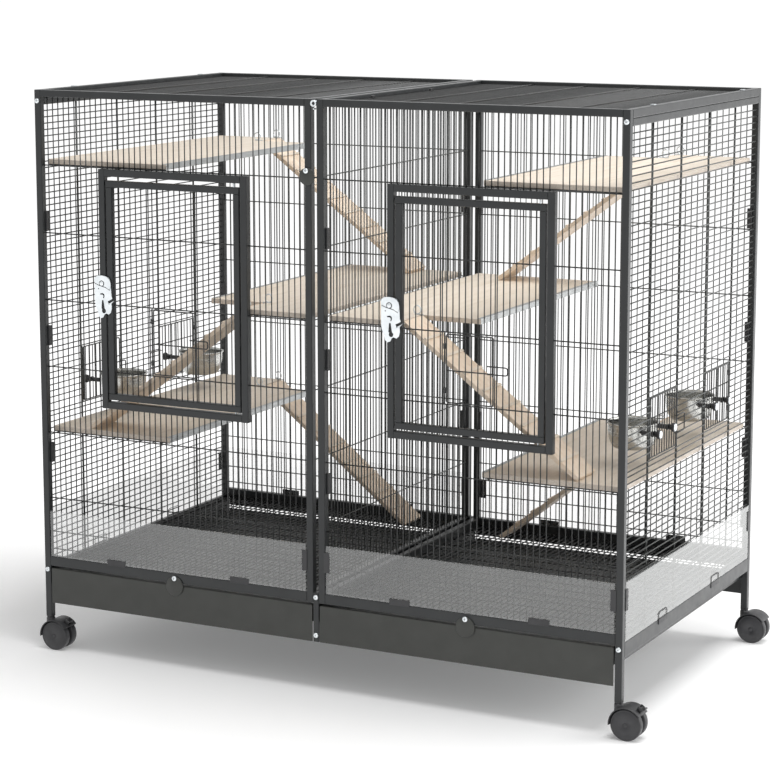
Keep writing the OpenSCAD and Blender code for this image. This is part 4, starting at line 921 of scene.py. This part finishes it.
def drawerParts():
    # folded steel: fascia turned back over a quarter circle at the top, tray of floor, two sides and a back
    s, t, r = drawer, drawer["sheet"], drawer["bend"]
    x0, x1, z0, lip = s["x0"], s["x1"], s["z"], s["lip"]
    fold = np.linspace(0, np.pi / 2, 5)
    topZ = z0 + s["fascia"] - s["lowered"]
    outer = np.c_[r - r * np.cos(fold), topZ - r + r * np.sin(fold)]
    inner = np.c_[r - (r - t) * np.cos(fold), topZ - r + (r - t) * np.sin(fold)][::-1]
    edge = np.concatenate([[(0, z0)], outer, [(lip, topZ), (lip, topZ - t)], inner, [(t, z0)]])
    points = np.concatenate([np.c_[np.full(len(edge), x), edge] for x in (x0, x1)])
    tx0, tx1, ty0 = x0 + t, x1 - t, t + cage["weld"]
    low, high, back = s["trayZ"], s["trayTop"], s["depth"] - t
    return [solid(points, skin(len(edge), 2, False)),
            bars([[(tx0, ty0, low), (tx1, back + t, low + t)],
                  [(tx0, back, low + t), (tx1, back + t, s["backTop"])]], 0, 0.6, 0.2, 1),
            bars([[(tx0, ty0, low + t), (tx0 + t, back, high)],
                  [(tx1 - t, ty0, low + t), (tx1, back, high)]], 1, 0.6, 0.2, 1)]


leftDrawer = drawerParts()
for name, made in (("drawer_left", leftDrawer), ("drawer_right", flip(leftDrawer, 0))):
    addPiece(name + "_tray", name, "fascia_coat", made, [coatFascia, trayPaint], name)


def recessShadeCross(x, z, y0, y1, long, wide, mat):
    # a screw's cross recess drawn as two crossed bars in a dark finish: painted shade of the recess
    return bars([[(x - long, y0, z - wide), (x + long, y1, z + wide)],
                 [(x - wide, y0, z - long), (x + wide, y1, z + long)]], 1, 0.3, 0.1, mat)


def disc(x, z, r, dx, drop):
    # turn button: domed disc hung off centre on a pan head screw with a cross recess
    return [lathe([(0, -0.3), (r - 0.6, -0.3), (r, -0.9), (r, -2.4), (r - 1.0, -3.2), (0, -3.3)],
                  (x + dx, 0, z - drop), 1, 56),
            lathe([(0, 0), (2, 0), (2, -3.2), (5.2, -3.25), (5.3, -3.9), (4.4, -4.8), (1.6, -5.2),
                   (0, -5.25)], (x, 0, z), 1, 28, 1),
            # dark crossed bars on the zinc screw head: painted shade of its cross recess
            recessShadeCross(x, z, -5.45, -5.0, 2.2, 0.45, 2)]


for name, x, z, r, dx, drop in (("drawer_button_left", 312.0, 115.0, 19.5, 0, 16),
                                ("drawer_button_right", 948.0, 115.0, 19.5, 0, 16),
                                ("post_button", 614.6, 936.0, 16.5, 2, 11)):
    addPiece(name + "_disc", name, "black_plastic", disc(x, z, r, dx, drop),
             [coatFascia, zinc, plasticBlack], name)
print("drawers made")

# guards, clips, fasteners
guard = {"gap": 2.0, "thick": 3.0, "front": 0.3, "low": 125.3, "height": 94.0, "sideLow": 108.3,
         "sideHeight": 111.0}
g0, g1, gz, sz = guard["front"], guard["front"] + guard["thick"], guard["low"], guard["sideLow"]
gapX, gapX1, gapY1 = tube + guard["gap"], moduleW - tube - guard["gap"], depth - tube - guard["gap"]
frontGuard = [bars([[(gapX, g0, gz), (gapX1, g1, gz + guard["height"])]], 0, 0.6, 0.3)]
sideGuard = [bars([[(g0, gapX, sz), (g1, gapY1, sz + guard["sideHeight"])]], 1, 0.6, 0.3)]
addPiece("splashGuards", "frame", "clear_plastic", withBack(withTwin(frontGuard)) + withRight(sideGuard),
         [clearSheet], "splash_guards")

clipSize = {"long": 44.0, "z": (122.0, 135.0), "spots": (174.0, moduleW - 164.0), "postX": 600.5,
            "gapX": 12.5, "postZ": (167, 207), "postW": 11, "sideSpots": (0.287, 0.694), "wire": 0.75,
            "halfSide": 22, "wireZ": (107, 122), "stripZ": (99, 109), "cornerY": (12.5, 23.5)}


def railClip(x):
    # pressed clip: a plate against the rail with a raised rim round its window
    x0, x1 = x - clipSize["long"] / 2, x + clipSize["long"] / 2
    z0, z1 = clipSize["z"]
    mid, y = (z0 + z1) / 2, -0.9
    rim = bendPath([(x0 + 1.5, y, mid), (x0 + 1.5, y, z1 - 1), (x1 - 1.5, y, z1 - 1), (x1 - 1.5, y, z0 + 1),
                    (x0 + 1.5, y, z0 + 1), (x0 + 1.5, y, mid)], 2.0, 4)[:-1]
    return [bars([[(x0 + 1, -1.2, z0 + 0.5), (x1 - 1, 0.0, z1 - 0.5)]], 0, 0.5, 0.3),
            sweep(rim, 0.6, (0, 1, 0), 6, closed=True)]


def postClip(x):
    # flat clip on a post, beside the guard
    z0, z1 = clipSize["postZ"]
    return [bars([[(x, -1.5, z0), (x + clipSize["postW"], 0, z1)]], 2, 1.2, 0.5)]


def sideClip(y):
    # bent wire over the side guard's foot, on a flat strip
    x, half, (z0, z1) = -clipSize["wire"], clipSize["halfSide"], clipSize["wireZ"]
    low, high = clipSize["stripZ"]
    loop = bendPath([(x, y - half + 1, z0), (x, y - half + 1, z1), (x, y + half - 1, z1),
                     (x, y + half - 1, z0)], 5.0)
    return [sweep(loop, clipSize["wire"], (1, 0, 0), 8),
            bars([[(-1.4, y - half, low), (0, y + half, high)]], 1, 0.5, 0.3)]


frontClips = withTwin(sum((railClip(x) for x in clipSize["spots"]), []) + postClip(clipSize["postX"]))
frontClips += postClip(pitch + clipSize["gapX"])
sideClips = sum((sideClip(share * depth) for share in clipSize["sideSpots"]), [])
(y0, y1), (z0, z1) = clipSize["cornerY"], clipSize["postZ"]
sideClips += withBack([bars([[(-1.5, y0, z0), (0, y1, z1)]], 2, 0.6, 0.4)])
addPiece("guardClips", "frame", "black_plastic", withBack(frontClips) + withRight(sideClips), [plasticBlack],
         "guard_clips")

# corner connectors: two flanges in each inner corner of the posts, at three heights
connector = {"start": 8.45, "flange": 4, "tall": 40, "heights": (319.0, 558.0, 789.0)}
c0, c1, c2 = connector["start"], tube + connector["flange"], moduleW - tube - connector["flange"]
flanges = [((tube, c0), (c1, tube)), ((c0, tube), (c1, c1)), ((c2, c0), (moduleW - tube, tube)),
           ((c2, tube), (moduleW - c0, c1))]
joint = [bars([[(*a, 0), (*b, connector["tall"])]], 2, 0.8, 0.4) for a, b in flanges]
connectors = sum((shift(joint, 0, 0, z) for z in connector["heights"]), [])
addPiece("panelConnectors", "frame", "black_plastic", withBack(withRight(connectors)), [plasticBlack],
         "panel_connectors")

fastener = {"head": 5.0, "cornerX": 7.0, "cornerZ": (1048.0, 97.0), "middleX": 630.0,
            "middleZ": (116.0, 41.0), "ringZ": 1062.0, "ringPin": 1051.5, "studZ": 1064,
            "tabs": (0.18, 0.865), "nuts": (0.2, 0.57), "nutX": 32, "nutBays": 27}


def boltHead(x, z):
    # pan head with a cross recess on a post's front face
    r = fastener["head"]
    return [lathe([(0, 0), (r, 0), (r, -1.2), (r * 0.8, -2.4), (r * 0.4, -2.9), (0, -3.0)],
                  (x, 0, z), 1, 28),
            # dark crossed bars on the zinc head: painted shade of its cross recess
            recessShadeCross(x, z, -3.0, -2.7, 1.9, 0.4, 1)]


midBolt = fastener["middleX"]
bolts = withRight(sum((boltHead(fastener["cornerX"], z) for z in fastener["cornerZ"]), []))
bolts = withBack(bolts + sum((boltHead(midBolt, z) for z in fastener["middleZ"]), []))
ringAt = (midBolt, 0, fastener["ringZ"])
ring = [lathe([(0, 0.4), (6.2, 0.4), (6.4, -0.2), (6.4, -1.2), (5.6, -1.9), (3.4, -1.6), (3.2, -0.6),
               (0, -0.6)], ringAt, 1, 32),
        lathe([(0, -0.5), (2.3, -0.5), (2.1, -1.7), (0, -1.8)], ringAt, 1, 24, 1),
        lathe([(0, 10), (1.8, 10), (1.8, 1), (1.2, 0.2), (0, 0.2)],
              (midBolt, 0, fastener["ringPin"]), 1, 20)]
studs = [lathe([(0, 0), (3.4, 0), (3.5, 0.8), (3.5, 11.2), (3.4, 12), (0, 12)],
               (moduleW, frontY, fastener["studZ"]), 0, 24)]
tabs = [bars([[(3, share * depth - 5, height), (11, share * depth + 5, height + 2)]], 1, 0.7, 0.5)
        for share in fastener["tabs"]]
bolts += withBack(ring) + withBack(studs) + withRight(tabs)
for share in fastener["nuts"]:
    y = tube + (round(share * (fastener["nutBays"] - 1)) + 1) * innerD / fastener["nutBays"]
    bolts.append(lathe([(0, 0), (4.5, 0), (4.5, 3.2), (3.4, 4), (0, 4)],
                       (pitch + fastener["nutX"], y, roofMid + grid["cross"]), 2, 6, 2, False))
addPiece("frameBolts", "frame", "zinc_steel", bolts, [zinc, plasticBlack, coatGrid], "frame_bolts")
print("guards and fasteners made")

# casters
caster = {"height": 68.0, "wheelR": 29.75, "wheelW": 15.0, "trail": 20.0, "web": 8.0, "gap": 1.0,
          "hood": 33.25, "hoodIn": 31.25, "hoodW": 44.0, "pivot": (43.0, 59.25), "lever": 53.0,
          "earY": 7.3, "post": 7.0}


def arcPlate(r0, r1, wide, start, sweepAngle, steps=28):
    # ring sector round the axle, standing in the wheel's plane, its outer edge rounded off
    t = np.radians(np.linspace(start, start + sweepAngle, steps))
    h = wide / 2
    ring = np.array([(r0, -h + 0.5), (r0, h - 0.5), (r0 + 0.5, h), (r1 - 1.0, h), (r1 - 0.3, h - 0.3),
                     (r1, h - 1.0), (r1, -h + 1.0), (r1 - 0.3, -h + 0.3), (r1 - 1.0, -h), (r0 + 0.5, -h)])
    m = len(ring)
    points = np.stack([caster["trail"] + ring[None, :, 0] * np.cos(t)[:, None],
                       np.broadcast_to(ring[:, 1], (steps, m)),
                       caster["wheelR"] + ring[None, :, 0] * np.sin(t)[:, None]], 2).reshape(-1, 3)
    return solid(points, skin(m, steps, True))


def swivelParts(braked):
    # hood over the wheels, web between them, axle boss and stem; a front one has two ears for its lever
    c = caster
    cx, cz = c["trail"], c["wheelR"]
    parts = [arcPlate(c["hoodIn"], c["hood"], c["hoodW"], 35, 150),
             arcPlate(7.0, 32.2, c["web"], 60, 120, 16),
             lathe([(4.1, -4), (8, -4), (8, 4), (4.1, 4)], (cx, 0, cz), 1, 32),
             lathe([(0, 35.8), (8.4, 35.8), (9, 36.8), (9, 61.5), (8, 63), (7.4, 63), (7.4, 64.6), (5, 64.7),
                    (5, 89), (4, 90), (0, 90)], (0, 0, 0), 2, 36)]
    if braked:
        dx, dz = c["pivot"][0] - cx, c["pivot"][1] - cz
        away = math.degrees(math.atan2(dz, dx))
        ear = arcPlate(c["hood"] - 1, math.hypot(dx, dz) + 4.5, 2.0, away - 8, 16, 6)
        parts += shift([ear], 0, -c["earY"]) + shift([ear], 0, c["earY"])
    return parts


def leverParts():
    # toe lever: eye on the pin, a tongue that dips and turns up at its ribbed tip
    t = np.linspace(0, 1, 9)
    px, pz = caster["pivot"]
    x = px + (caster["lever"] - px) * t
    top = pz + 1.9 - 1.2 * np.sin(t * np.pi) + 0.9 * t
    low = top - 3.2 + 0.7 * t
    half = 5.9 - 0.6 * t
    corners = [np.c_[x, -half, low], np.c_[x, half, low], np.c_[x, half, top], np.c_[x, -half, top]]
    ribs = [[(46.5 + 2.1 * k, -5.2, pz + 1.6), (47.4 + 2.1 * k, 5.2, pz + 2.8)] for k in range(3)]
    return [solid(np.stack(corners, 1).reshape(-1, 3), skin(4, len(t), False)),
            lathe([(0, -6), (3, -6), (3, 6), (0, 6)], (px, 0, pz), 1, 24),
            lathe([(0, -8.5), (1.9, -8.5), (1.9, 8.5), (0, 8.5)], (px, 0, pz), 1, 20),
            bars(ribs, 1, 0.4, 0.2)]


def wheelParts():
    # twin discs: crowned tread, rounded shoulders, a dished cover with a raised ring and hub
    r = caster["wheelR"]
    y0 = caster["web"] / 2 + caster["gap"]
    y1 = y0 + caster["wheelW"]
    profile = [(0, y0), (r - 2, y0), (r - 0.6, y0 + 0.8), (r, y0 + 2.5), (r, y1 - 3), (r - 0.5, y1 - 1.4),
               (r - 1.6, y1 - 0.5), (r - 2.6, y1 - 0.3), (r - 3.2, y1 - 0.8), (r - 3.8, y1 - 0.2),
               (r * 0.5, y1), (5.4, y1), (5.0, y1 - 0.6), (4.2, y1 - 0.6), (3.8, y1), (0, y1)]
    centre = (caster["trail"], 0, r)
    return [lathe(profile, centre, 1, 64), lathe([(p, -q) for p, q in profile[::-1]], centre, 1, 64),
            lathe([(0, -6), (4, -6), (4, 6), (0, 6)], centre, 1, 32)]


def plugParts():
    # a flange under the leg and a plug inside its tube
    return [bars([[(-7, -7, 65), (7, 7, 68)]], 2, 2.0, 0.8),
            bars([[(-5.7, -5.7, 68), (5.7, 5.7, 91.5)]], 2, 1.0, 0.6)]


plugs = []
for end, y in (("front", caster["post"]), ("back", depth - caster["post"])):
    for sideName, x in (("left", caster["post"]), ("right", cage["width"] - caster["post"])):
        name, at = end + "_" + sideName, (x, y, -caster["height"])
        addPiece("swivel_" + name, "caster_swivel_" + name, "black_plastic",
                 shift(swivelParts(end == "front"), *at), [plasticBlack], "caster_swivel_" + name)
        addPiece("wheels_" + name, "caster_wheels_" + name, "black_plastic", shift(wheelParts(), *at),
                 [plasticWheel], "caster_wheels_" + name)
        if end == "front":
            addPiece("lever_" + sideName, "brake_lever_" + sideName, "black_plastic",
                     shift(leverParts(), *at), [plasticBlack], "brake_lever_" + sideName)
        plugs += shift(plugParts(), *at)
addPiece("legPlugs", "frame", "black_plastic", plugs, [plasticBlack], "leg_plugs")
print("casters made")

# the drawer runners keep their CAD form under a coat of the frame's powder
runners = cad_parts["drawer_runners"]
runners.data.materials.clear()
runners.data.materials.append(coatFrame)

# floor, lights, background: the floor's glow rises with the distance from under the cage
studio = {"floorSize": 60.0, "paper": "#f2f2f2", "world": 0.5, "nearLift": 0.15, "farLift": 0.6,
          "mirrorLift": 0.45, "middle": (0.35, 0.1, 0.0), "nearAt": 0.9, "farAt": 3.2,
          "top": 103.0, "right": 42.0, "low": 2.5}


def anyRay(tree, path, *kinds):
    # 1 for a ray of any of the kinds: the larger of their Light Path values, taken in turn
    seen = path.outputs[kinds[0]]
    for kind in kinds[1:]:
        seen = addNode(tree, "Math", {"operation": "MAXIMUM"},
                       {0: seen, 1: path.outputs[kind]}).outputs[0]
    return seen


floorMesh = bpy.data.meshes.new("studioFloor")
f = studio["floorSize"]
floorMesh.from_pydata([(-f, -f, 0), (f, -f, 0), (f, f, 0), (-f, f, 0)], [], [(0, 1, 2, 3)])
floorObject = bpy.data.objects.new("studioFloor", floorMesh)
bpy.context.scene.collection.objects.link(floorObject)
floorMat = bpy.data.materials.new("paperWhite")  # seamless paper: matt, near white
tree = emptied(floorMat)
paper = addNode(tree, "BsdfDiffuse", {"Color": linear(studio["paper"]), "Roughness": 0.0})
spot = addNode(tree, "TexCoord").outputs["Object"]
away = addNode(tree, "VectorMath", {"operation": "DISTANCE", 1: studio["middle"]}, {0: spot})
lifted = addNode(tree, "MapRange",
                 {"From Min": studio["nearAt"], "From Max": studio["farAt"], "To Min": studio["nearLift"],
                  "To Max": studio["farLift"]}, {"Value": away.outputs["Value"]})
path = addNode(tree, "LightPath")
mirrored = addNode(tree, "Math", {"operation": "MULTIPLY_ADD", 1: studio["mirrorLift"]},
                   {0: path.outputs["Is Glossy Ray"], 2: lifted.outputs[0]}).outputs[0]
glow = addNode(tree, "Emission", {"Color": (1, 1, 1, 1)}, {"Strength": mirrored})
black = addNode(tree, "Emission", {"Color": (0, 0, 0, 1), "Strength": 0.0})
seen = anyRay(tree, path, "Is Camera Ray", "Is Glossy Ray")
lift = addNode(tree, "MixShader", links={0: seen, 1: black.outputs[0], 2: glow.outputs[0]})
both = addNode(tree, "AddShader", links={0: paper.outputs[0], 1: lift.outputs[0]})
addNode(tree, "OutputMaterial", links={"Surface": both.outputs[0]})
floorMesh.materials.append(floorMat)

world = bpy.data.worlds.new("studioWorld")
bpy.context.scene.world = world
tree = emptied(world)
path = addNode(tree, "LightPath")
seen = anyRay(tree, path, "Is Camera Ray", "Is Transmission Ray", "Is Glossy Ray")
strength = addNode(tree, "MapRange", {"To Min": studio["world"], "To Max": 1.0}, {"Value": seen})
sky = addNode(tree, "Background", {"Color": (1, 1, 1, 1)}, {"Strength": strength.outputs[0]})
addNode(tree, "OutputWorld", links={"Surface": sky.outputs[0]})


def softBox(name, spot, target, size, power):
    # a rectangular lamp whose face looks from its spot to the target
    data = bpy.data.lights.new(name, "AREA")
    data.shape = "RECTANGLE"
    data.size, data.size_y = size
    data.energy = power
    lamp = bpy.data.objects.new(name, data)
    lamp.location = spot
    direction = np.array(target, float) - np.array(spot, float)
    lamp.rotation_euler = Vector(direction).to_track_quat("-Z", "Y").to_euler()
    bpy.context.scene.collection.objects.link(lamp)


softBox("topSoftBox", (0.9, -0.1, 3.5), (0.1, -0.1, 0.3), (2.6, 2.2), studio["top"])
softBox("rightSoftBox", (3.0, 1.2, 1.5), (0.5, 0.0, 0.5), (2.4, 1.9), studio["right"])
softBox("lowSoftBox", (1.5, 1.5, 0.45), (0.6, 0.0, 0.3), (1.5, 0.7), studio["low"])
bpy.context.scene.view_settings.view_transform = "Standard"
print("studio set")
